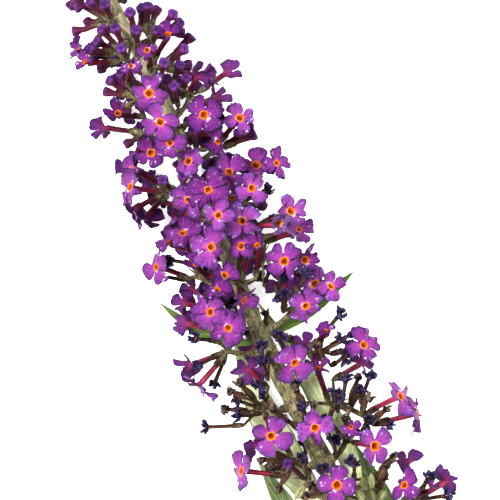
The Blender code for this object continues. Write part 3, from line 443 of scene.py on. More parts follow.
class Floret:
    # One floret or bud: its foot in the head of a spray, its calyx, and the eye of its face.
    def __init__(self, kind, hub, calyx, eye, facing, width, spin, cup):
        self.kind, self.hub, self.eye = kind, hub, eye
        self.width, self.spin, self.cup = width, spin, cup
        self.facing = unit(facing)
        way = unit(calyx - hub)
        buried = hubRadius - footDepth
        self.foot = hub + way * buried
        nearest = buried + pedicelShow
        self.calyx = calyx if np.linalg.norm(calyx - hub) > nearest else hub + way * nearest

    def changed(self, **values):
        # The same floret with some other values.
        other = copy.copy(self)
        vars(other).update(values)
        return other

    def pressed(self):
        # A face that looks straight down lies flat on the surface.
        return self.facing[2] < facesDown

    def frame(self):
        # Two directions across the face; the first is the picture's right, turned by the spin.
        right = np.array([math.cos(pictureLean), -math.sin(pictureLean), 0.0])
        if abs(right.dot(self.facing)) > 0.9:
            right = -upward
        first = squareTo(self.facing, right)
        first = turned(first, np.cross(self.facing, first), math.radians(self.spin))
        return first, np.cross(self.facing, first)

    def balls(self):
        result = []
        for start, end, radius in ((self.foot, self.calyx, pedicelBall), (self.calyx, self.eye, tubeBall)):
            count = max(2, int(np.linalg.norm(end - start) / ballStep) + 1)
            result += [(start + (end - start) * t, radius, False) for t in np.linspace(0.0, 1.0, count)]
        if self.kind != "open":
            return result + [(self.eye, 0.55 * self.width, True)]
        first, second = self.frame()
        reach = self.width / 2
        for lobe in range(4):
            for turn, out in lobeBalls:
                spot = turned(first, second, math.radians(90 * lobe + turn))
                lift = self.facing * self.cup * out * reach
                result.append((self.eye + spot * out * reach + lift, lobeBall, True))
        return result

    def lowest(self):
        flat = self.pressed()
        return min(
            centre[2] - radius for centre, radius, isFace in self.balls()
            if not (flat and (isFace or np.linalg.norm(centre - self.eye) < pressedNeck))
        )


def hubChoices(sprays, across, down, spread):
    # The heads that a floret may grow from, the likeliest first.
    choices = []
    for spray in sprays:
        for hub in spray.hubs:
            away = placed(across, down, hub[2]) - (hub + spray.out * spread)
            cost = np.linalg.norm(away[:2]) + (backCost if spray.side == "back" else 0.0)
            choices.append((cost, spray, hub))
    return sorted(choices, key=lambda choice: choice[0])[:likeliestHubs]


def tryFloret(space, sprays, candidates):
    # Adds the candidate that crosses least of those that keep clear of every other spray.
    best = None
    for cost, spray, floret in candidates:
        if floret.lowest() < 0.0:
            continue
        hard, soft = space.crossings(floret.balls(), sprays.index(spray))
        score = cost + soft * crossingCost
        if not hard and (best is None or score < best[0]):
            best = (score, spray, floret)
    if best is not None:
        score, spray, floret = best
        space.add(floret.balls(), sprays.index(spray))
        spray.florets.append(floret)


def facingCandidates(sprays, across, down, width, spin):
    # A floret turned to the eye, tried at several heights and pedicel lengths.
    candidates = []
    for cost, spray, hub in hubChoices(sprays, across, down, facingSpread):
        for lift in facingLifts:
            for longer in facingStretches:
                length = floretLength + longer
                eye = hub.copy()
                for _ in range(3):
                    flat = np.linalg.norm((placed(across, down, eye[2]) - hub)[:2])
                    rise = math.sqrt(max(length ** 2 - flat ** 2, 0.0))
                    eye = placed(across, down, hub[2] + max(rise, 1.0) + lift)
                total = np.linalg.norm(eye - hub)
                if total > floretLength + longestPedicel or total < shortestFloret:
                    continue
                direction = unit(eye - hub)
                calyx = hub + direction * max(total - floretLength, 0.4)
                facing = unit(direction + upward * facingLean)
                floret = Floret("open", hub, calyx, eye, facing, width, spin, facingCup)
                penalty = cost * 0.5 + abs(lift) * 0.5 + (length - floretLength) * 0.4
                candidates.append((penalty, spray, floret))
    return candidates


def sideCandidates(sprays, kind, head, foot, width, turn, length):
    # A floret whose head and foot are both seen, tried at several heights.
    candidates = []
    cup = sideCups[1] if width < narrowFace else sideCups[0]
    for cost, spray, hub in hubChoices(sprays, *foot, 0.0):
        for lift in sideLifts:
            calyx = placed(*foot, hub[2] + lift)
            flat = np.linalg.norm((placed(*head, calyx[2]) - calyx)[:2])
            rise = math.sqrt(max(length ** 2 - flat ** 2, 0.0)) * (1.0 if turn >= 0.0 else -1.0)
            eye = placed(*head, calyx[2] + rise)
            if np.linalg.norm(calyx - hub) > longestPedicel + 2.0:
                continue
            facing = unit(eye - calyx) + upward * turn
            if np.linalg.norm(calyx - hub) < shortestPedicel:
                calyx = hub + unit(eye - hub) * shortestPedicel
            floret = Floret(kind, hub, calyx, eye, facing, width, sideSpin, cup)
            candidates.append((cost + abs(lift) * 0.7, spray, floret))
    return candidates


def growSeen(space, sprays):
    # The florets that the picture shows, each at its own place.
    for across, down, width, spin in facingFlorets:
        tryFloret(space, sprays, facingCandidates(sprays, across, down, width, spin))
    for *head, width, footAcross, footDown, turn in sideFlorets:
        foot = (footAcross, footDown)
        tryFloret(space, sprays, sideCandidates(sprays, "open", head, foot, width, turn, floretLength))
    groups = {"bud": buds, "green": greenBuds, "withered": witheredFlorets, "dry": dryFlorets}
    for kind, group in groups.items():
        usualLength, width = seenSizes[kind]
        for across, down, footAcross, footDown in group:
            length = max(usualLength, math.hypot(across - footAcross, down - footDown) / pixelsPerMm)
            head, foot = (across, down), (footAcross, footDown)
            tryFloret(space, sprays, sideCandidates(sprays, kind, head, foot, width, 0.0, length))


def kindAt(along, draw):
    # Buds at the tip, open florets in the middle, withered and dry ones below.
    shares = next(kinds for lowest, kinds in hiddenKinds if along > lowest)
    return next(kind for kind, share in shares if draw < share)


def wayOut(spray, index, count, turn):
    # A direction away from the stem, one of a round head of them.
    direction = stemDirection(spray.along)
    axis = unit(spray.out * 0.85 + direction * 0.5)
    first = unit(np.cross(axis, direction))
    tilt = math.radians(spreadTilts[0] + spreadTilts[1] * math.sqrt((index + 0.5) / count))
    return axis * math.cos(tilt) + turned(first, np.cross(axis, first), turn) * math.sin(tilt)


def inView(eye, way, width):
    # Whether the picture would show a floret that isn't there, in front or past the outline.
    inFront = seenFrom < eye[1] < seenTo and way[2] > frontRise
    half = np.interp(eye[1], *zip(*halfWidths)) - width * 0.3
    return inFront or abs(eye[0] - stemAt(eye[1])[0]) > half


def growHidden(space, sprays):
    # The florets that the picture doesn't show: behind, below and past its edges.
    golden = math.pi * (3.0 - math.sqrt(5.0))
    for number, spray in enumerate(sprays):
        draw = random.Random(randomSeed + number)
        count = tipCount if spray.along > buddingFrom else hiddenCounts[spray.side]
        most = count + (2 if spray.side in ("left", "right") else 1)
        shrink = float(np.interp(spray.along, *zip(*tipShrink)))
        for hub in spray.hubs:
            for index in range(count * 3):
                way = wayOut(spray, index, count * 3, golden * index + number)
                kind = kindAt(hub[1], draw.random())
                length = hiddenSizes[kind][0] * shrink * draw.uniform(0.88, 1.12)
                width = hiddenSizes[kind][1] * shrink * draw.uniform(0.85, 1.1)
                spin = draw.uniform(0.0, 90.0)
                eye = hub + way * length
                grown = sum(1 for floret in spray.florets if np.allclose(floret.hub, hub))
                if grown >= most or inView(eye, way, width):
                    continue
                facing, cup = way, hiddenCup
                if kind == "open" and eye[2] < pressedReach:
                    eye[2] = 0.0
                    facing, cup = -upward, 0.0
                calyx = hub + unit(eye - hub) * shortestPedicel
                floret = Floret(kind, hub, calyx, eye, facing, width, spin, cup)
                tryFloret(space, sprays, [(0.0, spray, floret)])


def leafSpots(name, along, tip, width, widest):
    # The blade's midrib and half widths, from the stem to the tip.
    start = stemAt(along)
    end = placed(*tip)
    side = np.array([-1.0 if name.endswith("left") else 1.0, 0.0, 0.0])
    lowSide = unit(side - upward * leafDroop)
    foot = start + lowSide * (stemRadius(along) * nodeSwell + seat + leafThickness)
    pull = foot + lowSide * 6.0 + (end - foot) * 0.25
    pull[2] = end[2] + (foot[2] - end[2]) * 0.2
    middle = curvePoints(foot, pull, end, leafStations)
    power = math.log(0.5) / math.log(widest)
    steps = np.linspace(0.0, 1.0, leafStations)
    shape = np.array([math.sin(math.pi * step ** power) for step in steps])
    halves = np.maximum(width / 2 * np.clip(shape, 0.0, 1.0) ** 0.85, narrowestHalf)
    halves[-1] = tipHalf
    return middle, halves


def leafBalls(middle, halves):
    balls = []
    for index in range(len(middle) - 1):
        for t in (0.0, 0.33, 0.67):
            spot = middle[index] * (1 - t) + middle[index + 1] * t
            half = halves[index] * (1 - t) + halves[index + 1] * t
            across = unit(np.cross(unit(middle[index + 1] - middle[index]), upward))
            for place in np.linspace(-half, half, max(2, int(half / 0.5) + 1)):
                balls.append((spot + across * place + upward * leafBallLift, leafBall, False))
    return balls


def tipFlorets():
    # The smallest buds, which sit straight on the end of the stem.
    florets = []
    for level, along in enumerate(tipBudLevels):
        size = 1.0 - tipBudShrink * level / (len(tipBudLevels) - 1)
        for corner in range(4):
            out = roundStem(along, math.radians(90.0 * corner + 45.0 * level))
            way = unit(out * 0.8 + stemDirection(along))
            foot = stemAt(along)
            eye = foot + way * tipBudLength * size
            florets.append(Floret("bud", foot, foot + way * 0.4, eye, way, tipBudWidth * size, 0.0, 0.0))
    end = stemAt(stemLine[-1][0])
    way = stemDirection(stemLine[-1][0] - 1.0)
    florets.append(Floret("bud", end - way, end, end + way * 1.6, way, 1.0, 0.0, 0.0))
    return florets


def planSpike():
    # Every spray with its florets in place, and every leaf's midrib and half widths.
    space = Space()
    sprays = [Spray(*place) for place in sprayPlaces]
    places = np.arange(stemLine[0][0] + 2.0, stemLine[-1][0], 1.0)
    space.add([(stemAt(along), stemRadius(along) * 1.1, False) for along in places], -1)
    for floret in tipFlorets():
        space.add(floret.balls(), -1)
    leaves = []
    for number, (name, *place) in enumerate(leafPlaces):
        leaves.append((name, *leafSpots(name, *place)))
        space.add(leafBalls(*leaves[-1][1:]), -2 - number)
    for number, spray in enumerate(sprays):
        for stalk in spray.stalks:
            space.add([(point, stalkRadius, False) for point in stalk[1:]], number)
        space.add([(hub, hubRadius, False) for hub in spray.hubs], number)
    growSeen(space, sprays)
    growHidden(space, sprays)
    return sprays, leaves


# The fine pieces. Every point carries four masks for the materials, each explained at its finish.
maskNames = ("reach", "tone", "across", "under")
finishNames = ("petal", "tube", "bud", "felt", "withered", "leaf")
lowestPoint = 0.02  # petals pressed against the surface are flattened here
sharpEdge = math.radians(62.0)
triangleCounts = []


def addObject(name, data):
    thing = bpy.data.objects.new(name, data)
    bpy.context.scene.collection.objects.link(thing)
    return thing


class Skin:
    # The points, faces, finishes and masks of one piece, gathered part by part.
    def __init__(self):
        self.points = []
        self.masks = []
        self.faces = {3: [], 4: []}
        self.finishes = {3: [], 4: []}
        self.count = 0

    def addFaces(self, finish, *corners):
        faces = np.stack(corners, axis=-1)
        self.faces[len(corners)].append(faces)
        self.finishes[len(corners)].append(np.full(len(faces), finishNames.index(finish)))

    def addBand(self, low, high, finish):
        # The faces between two rings; one may have several times as many points as the other.
        if len(low) == len(high):
            self.addFaces(finish, low, np.roll(low, -1), np.roll(high, -1), high)
            return
        coarse, fine = (low, high) if len(low) < len(high) else (high, low)
        ratio = len(fine) // len(coarse)
        order = np.arange(len(fine))
        nearest = coarse[(order // ratio + (order % ratio >= ratio // 2)) % len(coarse)]
        fans = (fine, np.roll(fine, -1), nearest)
        joins = (coarse, np.roll(coarse, -1), fine[ratio // 2::ratio])
        self.addFaces(finish, *(fans[::-1] if coarse is low else fans))
        self.addFaces(finish, *(joins if coarse is low else joins[::-1]))

    def addRings(self, rings, masks, finish):
        # Closed rings of points, one after the other, with a cap at each end.
        sizes = [len(ring) for ring in rings]
        starts = self.count + np.concatenate([[0], np.cumsum(sizes)])
        for rows, parts in ((self.points, rings), (self.masks, masks)):
            rows += [*parts, parts[0].mean(axis=0)[None], parts[-1].mean(axis=0)[None]]
        self.count += sum(sizes) + 2
        rows = [np.arange(size) + first for size, first in zip(sizes, starts)]
        for low, high in zip(rows[:-1], rows[1:]):
            self.addBand(low, high, finish)
        self.addFaces(finish, np.roll(rows[0], -1), rows[0], np.full(sizes[0], starts[-1]))
        self.addFaces(finish, rows[-1], np.roll(rows[-1], -1), np.full(sizes[-1], starts[-1] + 1))

    def addPart(self, rings, finish, reach, tone, across, under=0.0):
        self.addRings(rings, masksFor(rings, reach, tone, across, under), finish)

    def makePiece(self, name, slot, *nodes):
        # Writes the mesh, in place of the solids that it stands for.
        mesh = bpy.data.meshes.new(name)
        points = np.concatenate(self.points) + shift
        points[:, 2] = np.maximum(points[:, 2], lowestPoint)
        quads = np.concatenate(self.faces[4])
        triangles = np.concatenate(self.faces[3])
        finishes = np.concatenate(self.finishes[4] + self.finishes[3])
        used = sorted(set(finishes.tolist()))
        starts = np.append(np.arange(len(quads)) * 4, quads.size + np.arange(len(triangles)) * 3)
        mesh.vertices.add(len(points))
        mesh.vertices.foreach_set("co", (points * metre).ravel())
        mesh.loops.add(quads.size + triangles.size)
        mesh.loops.foreach_set("vertex_index", np.append(quads, triangles))
        mesh.polygons.add(len(finishes))
        mesh.polygons.foreach_set("loop_start", starts)
        mesh.polygons.foreach_set("material_index", np.array([used.index(item) for item in finishes]))
        mesh.update(calc_edges=True)
        masks = np.concatenate(self.masks)
        for column, maskName in enumerate(maskNames):
            attribute = mesh.attributes.new(maskName, "FLOAT", "POINT")
            attribute.data.foreach_set("value", masks[:, column].astype(np.float32))
        mesh.shade_smooth()
        mesh.set_sharp_from_angle(angle=sharpEdge)
        for item in used:
            mesh.materials.append(finishMaterials[finishNames[item]])
        piece = addObject(name, mesh)
        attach(piece, "root")
        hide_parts(*nodes)
        triangleCounts.append(2 * len(quads) + len(triangles))


def masksFor(rings, *values):
    # Reach, tone, across and under for every point of the rings.
    return np.stack([np.broadcast_to(value, rings.shape[:-1]) for value in values], axis=-1)


def turnsOf(sides):
    return np.linspace(0.0, 2.0 * math.pi, sides, endpoint=False)


def roundWays(first, second, turns):
    return np.cos(turns)[:, None] * first + np.sin(turns)[:, None] * second


def guideFor(direction):
    # A fixed direction that isn't along the given one.
    guide = np.array([0.31, 0.17, 0.93])
    return guide if abs(guide.dot(unit(direction))) < 0.85 else guide[::-1]


def roundRings(path, radii, sides, ripple=0.0, lobes=4, twist=0.0):
    # Rings round a path, with a radius for each; ripple gives them lobes.
    ahead = units(np.gradient(path, axis=0))
    guide = guideFor(path[-1] - path[0])
    first = units(guide - ahead * (ahead @ guide)[:, None])
    second = np.cross(ahead, first)
    turns = turnsOf(sides)
    steps = np.linspace(0.0, 1.0, len(path))[:, None]
    swell = 1.0 + np.reshape(ripple, (-1, 1)) * np.cos(lobes * turns + twist * steps)
    reach = np.reshape(radii, (-1, 1)) * swell
    x = (reach * np.cos(turns))[..., None]
    y = (reach * np.sin(turns))[..., None]
    return path[:, None, :] + x * first[:, None, :] + y * second[:, None, :]


def resampled(points, steps):
    # Points along a row of points, at these shares of it.
    rows = np.linspace(0.0, 1.0, len(points))
    return np.stack([np.interp(steps, rows, np.array(points)[:, axis]) for axis in range(3)], axis=-1)


def smoothed(rows, rounds):
    # Rows evened out with their neighbours, the ends kept.
    for _ in range(rounds):
        rows[1:-1] = (rows[:-2] + 2.0 * rows[1:-1] + rows[2:]) / 4.0
    return rows


def randomWay(draw):
    return np.array([draw.uniform(-1.0, 1.0) for _ in range(3)])


def crumpled(points, size, wave, draw):
    # Moves points by slow waves in all three directions.
    moved = points.copy()
    for axis in range(3):
        for _ in range(2):
            way = unit(randomWay(draw))
            phase = draw.uniform(0.0, 2.0 * math.pi)
            moved[..., axis] += size * np.sin(points @ way * 2.0 * math.pi / wave + phase)
    return moved


# Short hairs on felted parts, so many to a square millimetre: thin closed spikes with three sides.
hairLook = {
    "stem": 3.4,
    "stalk": 1.6,
    "calyx": 0.8,
    "length": (0.22, 0.50),
    "halfWidth": 0.045,
    "sunk": 0.06,
    "lean": 0.9,
    "paleness": -0.55,
}


def addHairs(skin, rings, perSquareMm, tone, draw):
    # Hairs at random spots of a round part, leaning along it.
    centres = rings.mean(axis=1)
    around = np.linalg.norm(np.roll(rings, -1, axis=1) - rings, axis=2).sum(axis=1).mean()
    number = int(around * np.linalg.norm(np.diff(centres, axis=0), axis=1).sum() * perSquareMm)
    if number < 1:
        return
    rolls = np.array([[draw.random() for _ in range(5)] for _ in range(number)])
    row = rolls[:, 0] * (len(rings) - 1.001)
    column = rolls[:, 1] * rings.shape[1]
    low, left = row.astype(int), column.astype(int) % rings.shape[1]
    up, over = (row - low)[:, None], (column % 1.0)[:, None]
    right = (left + 1) % rings.shape[1]
    spot = (rings[low, left] * (1 - over) + rings[low, right] * over) * (1 - up)
    spot = spot + (rings[low + 1, left] * (1 - over) + rings[low + 1, right] * over) * up
    out = units(spot - (centres[low] * (1 - up) + centres[low + 1] * up))
    side = units(np.cross(out, centres[low + 1] - centres[low]))
    ahead = np.cross(side, out)
    way = out + ahead * (rolls[:, 2:3] - 0.3) * hairLook["lean"] + side * (rolls[:, 3:4] - 0.5)
    shortest, longest = hairLook["length"]
    tip = spot + way * (shortest + (longest - shortest) * rolls[:, 4:5])
    foot = spot - out * hairLook["sunk"]
    half = hairLook["halfWidth"]
    corners = [foot + half * turned(ahead, side, 2.0 * math.pi * turn / 3) for turn in range(3)]
    points = np.stack([*corners, tip], axis=1)
    firsts = skin.count + 4 * np.arange(number)[:, None]
    faces = firsts[..., None] + np.array([[0, 1, 3], [1, 2, 3], [2, 0, 3], [0, 2, 1]])
    skin.points.append(points.reshape(-1, 3))
    skin.masks.append(masksFor(points, 0.5, tone, hairLook["paleness"], 0.0).reshape(-1, 4))
    skin.addFaces("felt", *faces.reshape(-1, 3).T)
    skin.count += 4 * number


# The limb: four toothed lobes round a throat with a raised, slightly square ring.
# A lobe's form is half of it, as shares of its reach outwards and sideways.
limbLook = {
    "coarsePoints": 9,
    "lobeForm": (
        (0.30, 0.250), (0.40, 0.345), (0.52, 0.430), (0.66, 0.475), (0.80, 0.470), (0.91, 0.405),
        (0.98, 0.250), (1.0, 0.0),
    ),
    "lobeLength": (0.88, 1.05),
    "lobeBreadth": (0.86, 1.08),
    "lobeSkew": 0.12,
    "tipDent": (-0.06, 0.10),
    "notch": 0.35,
    "rootShare": 0.31,
    "teeth": (8.0, 13.0),
    "ringRadius": 0.98,
    "ringShare": 0.252,
    "ringSizes": (0.78, 1.0),
    "square": 0.05,
    "thickness": 0.13,
    "neckDepth": 1.35,
    "strayLifts": (-0.6, 0.5, 0.8),
    "midGroove": (0.06, 0.16),
}
# Rings round the margin: share of the lobe's reach, share of its thickness, and under.
marginRows = ((0.985, 0.75, 1.0), (1.0, 0.4, 0.5), (0.98, 0.0, 0.0))
# Throat and neck: radius and height in shares of the ring's radius and depth; the throat's mask.
throatRows = (
    (1.02, -0.01, 1.00), (0.95, 0.05, 0.93), (0.85, 0.08, 0.84), (0.73, -0.01, 0.74), (0.62, -0.16, 0.62),
    (0.50, -0.36, 0.50), (0.38, -0.58, 0.38), (0.26, -0.70, 0.26), (0.12, -0.72, 0.12),
)
neckRows = ((0.50, 1.0), (0.64, 0.78), (0.74, 0.45), (0.92, 0.22))


def limbOutline(draw, points, toothDepth, slim):
    # The margin round the four lobes as shares of the limb's reach, with each point's turn
    # round the throat, its place across the lobe, and its lobe. Each lobe starts at its notch.
    form = np.array(limbLook["lobeForm"])
    broadest = form[:, 1].max()
    form = np.concatenate([form * (1.0, -1.0), form[-2::-1]])
    lengths = np.append(0.0, np.cumsum(np.linalg.norm(np.diff(form, axis=0), axis=1)))
    steps = np.linspace(0.0, 1.0, points - 1)
    along = smoothed(np.interp(steps * lengths[-1], lengths, form[:, 0]), 2)
    side = smoothed(np.interp(steps * lengths[-1], lengths, form[:, 1]), 2)
    out = units(np.stack([np.gradient(side), -np.gradient(along)], axis=-1))
    free = np.clip(np.minimum(steps, 1.0 - steps) * 7.0, 0.0, 1.0)  # no teeth near the notches
    rootShare = limbLook["rootShare"]
    rows = []
    for lobe in range(4):
        longer = draw.uniform(*limbLook["lobeLength"])
        broader = draw.uniform(*limbLook["lobeBreadth"]) * slim
        skew = draw.uniform(-limbLook["lobeSkew"], limbLook["lobeSkew"])
        dent = draw.uniform(*limbLook["tipDent"])
        teeth = math.pi * draw.uniform(*limbLook["teeth"])
        phases = [draw.uniform(0.0, 2.0 * math.pi) for _ in range(4)]
        tooth = np.abs(np.sin(teeth * steps + phases[0] + 0.6 * np.sin(5.0 * steps + phases[1]))) ** 0.8
        size = 0.65 + 0.35 * np.sin(9.0 * steps + phases[2])
        push = toothDepth * (size * (tooth - 0.55) + 0.5 * np.sin(11.0 * steps + phases[3])) * free
        dented = dent * np.exp(-((steps - 0.5) / 0.07) ** 2)
        far = rootShare + (along - rootShare) * longer + out[:, 0] * push - dented
        wide = side * broader + out[:, 1] * push
        wide = wide + skew * np.clip(far - 0.4, 0.0, 1.0)
        middle = math.pi / 2 * lobe
        turns = middle - math.pi / 4 + math.pi / 2 * np.arange(points) / points
        notch = limbLook["notch"] * draw.uniform(0.92, 1.10)
        x = np.append(notch * math.cos(turns[0]), far * math.cos(middle) - wide * math.sin(middle))
        y = np.append(notch * math.sin(turns[0]), far * math.sin(middle) + wide * math.cos(middle))
        across = np.append(-1.0, wide / broadest)
        rows.append(np.stack([x, y, turns, across, np.full(points, float(lobe))], axis=-1))
    return np.concatenate(rows)


def addLimb(skin, floret, draw, finish, shape, tone):
    # One closed skin: up the neck, out under the lobes, back over them and down the throat.
    reach = floret.width / 2
    outline = limbOutline(draw, shape["points"], shape["toothDepth"], shape["slim"])
    ring = min(limbLook["ringRadius"], limbLook["ringShare"] * reach) * draw.uniform(*limbLook["ringSizes"])
    small = ring / limbLook["ringRadius"]
    lobe = outline[:, 4].astype(int)

    def perLobe(low, high):
        return np.array([draw.uniform(low, high) for _ in range(4)])

    lifts = perLobe(*shape["lift"])
    if draw.random() < shape["stray"]:
        lifts[draw.randrange(4)] += draw.choice(limbLook["strayLifts"])
    lift = lifts[lobe]
    bow = perLobe(*shape["curl"])[lobe] / reach
    bow = np.where(np.abs(bow) < 1e-4, 1e-4, bow)
    fold = perLobe(*shape["fold"])[lobe]
    twist = perLobe(-1.0, 1.0)[lobe] * shape["twist"]
    phase = perLobe(0.0, 2.0 * math.pi)[lobe]
    edge = outline[:, :2] * reach
    turns = outline[:, 2]
    across = outline[:, 3]
    uneven = 1.0 + limbLook["square"] * np.cos(4.0 * turns) + 0.04 * np.cos(turns + phase[0])
    circle = np.stack([np.cos(turns), np.sin(turns)], axis=-1) * uneven[:, None]
    thin = slice(None, None, shape["points"] // limbLook["coarsePoints"])
    grooveDepth, grooveWidth = limbLook["midGroove"]
    basis = np.array([*floret.frame(), floret.facing])
    rings = []
    masks = []

    def putRing(row, *maskValues):
        masks.append(masksFor(row, *maskValues))
        if shape["crumple"]:
            row = crumpled(row, shape["crumple"], shape["wave"], random.Random(shape["seed"]))
        rings.append(floret.eye + row @ basis)

    def limbRing(share, depth, under):
        # A ring at a share of the way from the throat's rim to the margin.
        flat = circle * ring * (1 - share) + edge * share
        radius = np.linalg.norm(flat, axis=1)
        out = np.maximum(radius - ring, 0.0)
        slope = lift + bow * out
        place = across * share
        wave = shape["ripple"] * reach * share ** 2.5 * np.sin(4.0 * across + 2.4 * out / reach + phase)
        crease = shape["crease"] * reach * share ** 2 * np.sin(11.0 * across + 1.7 * phase)
        groove = grooveDepth * out * np.exp(-(place / grooveWidth) ** 2)
        rise = (fold * place ** 2 + twist * place) * out + wave + crease - groove - depth
        far = ring + (np.sin(slope) - np.sin(lift)) / bow - rise * np.sin(slope)
        height = (np.cos(lift) - np.cos(slope)) / bow + rise * np.cos(slope)
        row = np.concatenate([flat / radius[:, None] * far[:, None], height[:, None]], axis=1)
        putRing(row, 1.0 + share, tone, place, under)

    def throatRing(radius, height, inward, under):
        row = circle[thin] * radius * ring
        row = np.concatenate([row, np.full((len(row), 1), height * small)], axis=1)
        putRing(row, inward, tone, across[thin] * 0.3, under)

    for radius, height in neckRows:
        throatRing(radius, -limbLook["neckDepth"] * height, 1.0, 1.0)
    rows = [(share, 1.0, 1.0) for share in shape["underRows"]]
    rows += [*marginRows, *((share, 0.0, 0.0) for share in shape["topRows"])]
    for share, depth, under in rows:
        limbRing(share, limbLook["thickness"] * depth, under)
    for radius, height, inward in throatRows:
        throatRing(radius, height, inward, 0.0)
    skin.addRings(rings, masks, finish)


# Tubes, with their radii at four places for each kind.
tubeLook = {
    "sides": 12,
    "rings": 8,
    "bow": 0.35,
    "places": (0.0, 0.35, 0.8, 1.0),
    "open": (0.50, 0.50, 0.56, 0.62),
    "withered": (0.42, 0.33, 0.34, 0.42),
    "dry": (0.50, 0.66, 0.46, 0.38),
    "witheredFolds": 0.22,
}
# The calyx, its ribs and four teeth; it pales between two places along the spike.
calyxLook = {
    "sides": 16,
    "length": 2.8,
    "radius": 0.66,
    "toothLength": 0.55,
    "square": 0.07,
    "ribs": 0.20,
    "dark": (0.28, 0.60),
    "paler": ((-28.0, 12.0), (0.03, 0.34)),
    "shares": (0.0, 0.14, 0.32, 0.55, 0.78, 0.94, 1.0, 0.98, 0.85),
    "widths": (0.42, 0.66, 0.86, 0.98, 1.0, 0.97, 0.95, 0.86, 0.78),
}
pedicelLook = {
    "sides": 8,
    "rings": 6,
    "shortest": 0.6,
    "radii": ((0.0, 0.3, 1.0), (0.55, 0.34, 0.25)),
    "dark": 0.42,
}


def palerAt(place):
    # How much paler the felt is here; it pales towards the tip of the spike.
    return float(np.interp(place[1], *calyxLook["paler"]))


def crossBow(start, end, draw):
    # A small push sideways, so that no tube is quite straight.
    return unit(np.cross(end - start, randomWay(draw))) * draw.uniform(0.2, 1.0) * tubeLook["bow"]


def bowedPath(start, end, draw, count):
    return curvePoints(start, (start + end) / 2 + crossBow(start, end, draw), end, count)


def addTube(skin, start, end, radii, tone, finish, draw, wrinkle=0.0, last=1.0):
    path = bowedPath(start, end, draw, tubeLook["rings"])
    radii = np.interp(np.linspace(0.0, 1.0, len(path)), tubeLook["places"], radii)
    rings = roundRings(path, radii, tubeLook["sides"], wrinkle, 5, 3.0)
    reach = np.linspace(0.0, last, len(path))[:, None]
    turns = turnsOf(tubeLook["sides"])
    streaks = np.cos(4.0 * turns + draw.uniform(0.0, 6.0)) + 0.6 * np.cos(turns + draw.uniform(0.0, 6.0))
    skin.addPart(rings, finish, reach, tone, streaks)


def addPedicel(skin, hub, calyx, tone, draw):
    if np.linalg.norm(calyx - hub) < pedicelLook["shortest"]:
        return
    path = bowedPath(hub, calyx, draw, pedicelLook["rings"])
    steps = np.linspace(0.0, 1.0, len(path))
    rings = roundRings(path, np.interp(steps, *pedicelLook["radii"]), pedicelLook["sides"])
    skin.addPart(rings, "felt", steps[:, None], tone, pedicelLook["dark"] - palerAt(hub))


def addCalyx(skin, start, way, size, tone):
    # A slim cup with four pointed teeth, closed back against the tube.
    shares = np.array(calyxLook["shares"])
    widths = np.array(calyxLook["widths"])
    turns = turnsOf(calyxLook["sides"])
    first = squareTo(way, guideFor(way))
    tooth = (0.5 + 0.5 * np.cos(4.0 * turns)) ** 1.5 * calyxLook["toothLength"] * size
    reach = np.clip((shares - 0.6) / 0.4, 0.0, 1.0)[:, None]
    along = shares[:, None] * (calyxLook["length"] * size) + reach * tooth
    square = 1.0 + calyxLook["square"] * np.cos(4.0 * turns)
    radius = widths[:, None] * calyxLook["radius"] * size * square
    rings = start + along[..., None] * way + radius[..., None] * roundWays(first, np.cross(way, first), turns)
    least, more = calyxLook["dark"]
    darker = least - palerAt(start) + more * shares[:, None] ** 1.3 + calyxLook["ribs"] * np.cos(8.0 * turns)
    skin.addPart(rings, "felt", 0.5 + shares[:, None] / 2, tone, darker)
    addHairs(skin, rings, hairLook["calyx"], tone, random.Random(round(1000.0 * tone)))


# Open florets: four lobes spread round the eye, each with its own tilt, bend and fold.
# Sizes are times the solid's: by the place along the spike, for faces seen from the side, and for
# young ones. Some faces, more of them low on the spike, are smooth. The few at fadedSpots, given
# in pixels with a reach in millimetres, are faded and crumpled.
openLook = {
    "points": 36,
    "lift": 0.30,
    "youngCup": 0.50,
    "tilt": 0.40,
    "youngTilt": 1.5,
    "size": ((-38.0, -22.0, 12.0, 25.0), (1.07, 1.14, 1.14, 1.20)),
    "sidewaysSize": 1.32,
    "sidewaysTeeth": 0.8,
    "youngSize": 1.26,
    "youngest": 5.6,
    "youngTones": (0.0, 0.4),
    "tones": (0.22, 1.0),
    "aged": ((-45.0, -30.0, -10.0, 10.0, 22.0), (0.0, 0.30, 0.0, 0.0, -0.32)),
    "stray": 0.28,
    "curl": (-1.1, 0.55),
    "fold": (-0.65, 0.45),
    "twist": 0.24,
    "ripple": 0.092,
    "crease": 0.038,
    "slim": (1.0, 1.16),
    "toothDepth": (0.06, 0.13),
    "crumple": 0.0,
    "underRows": (0.2, 0.55, 0.88),
    "topRows": (0.91, 0.78, 0.6, 0.42, 0.24),
    "smoothShare": ((-30.0, -10.0), (0.5, 0.25)),
    "smooth": {"toothDepth": 0.025, "slim": 1.0, "ripple": 0.035, "crease": 0.010, "stray": 0.0},
    "fadedSpots": ((283, 227, 3.0),),
    "faded": {
        "crumple": 0.15, "wave": 0.9, "curl": (0.2, 1.7), "fold": (-0.9, 0.6), "toothDepth": 0.15,
        "stray": 1.0,
    },
    "fadedTone": 2.0,
    "pressed": {
        "lift": (-0.25, -0.05), "curl": (-0.3, 0.0), "fold": (-0.15, 0.0), "twist": 0.0, "ripple": 0.01,
        "crease": 0.0, "stray": 0.0,
    },
    "neckShare": 0.82,
}


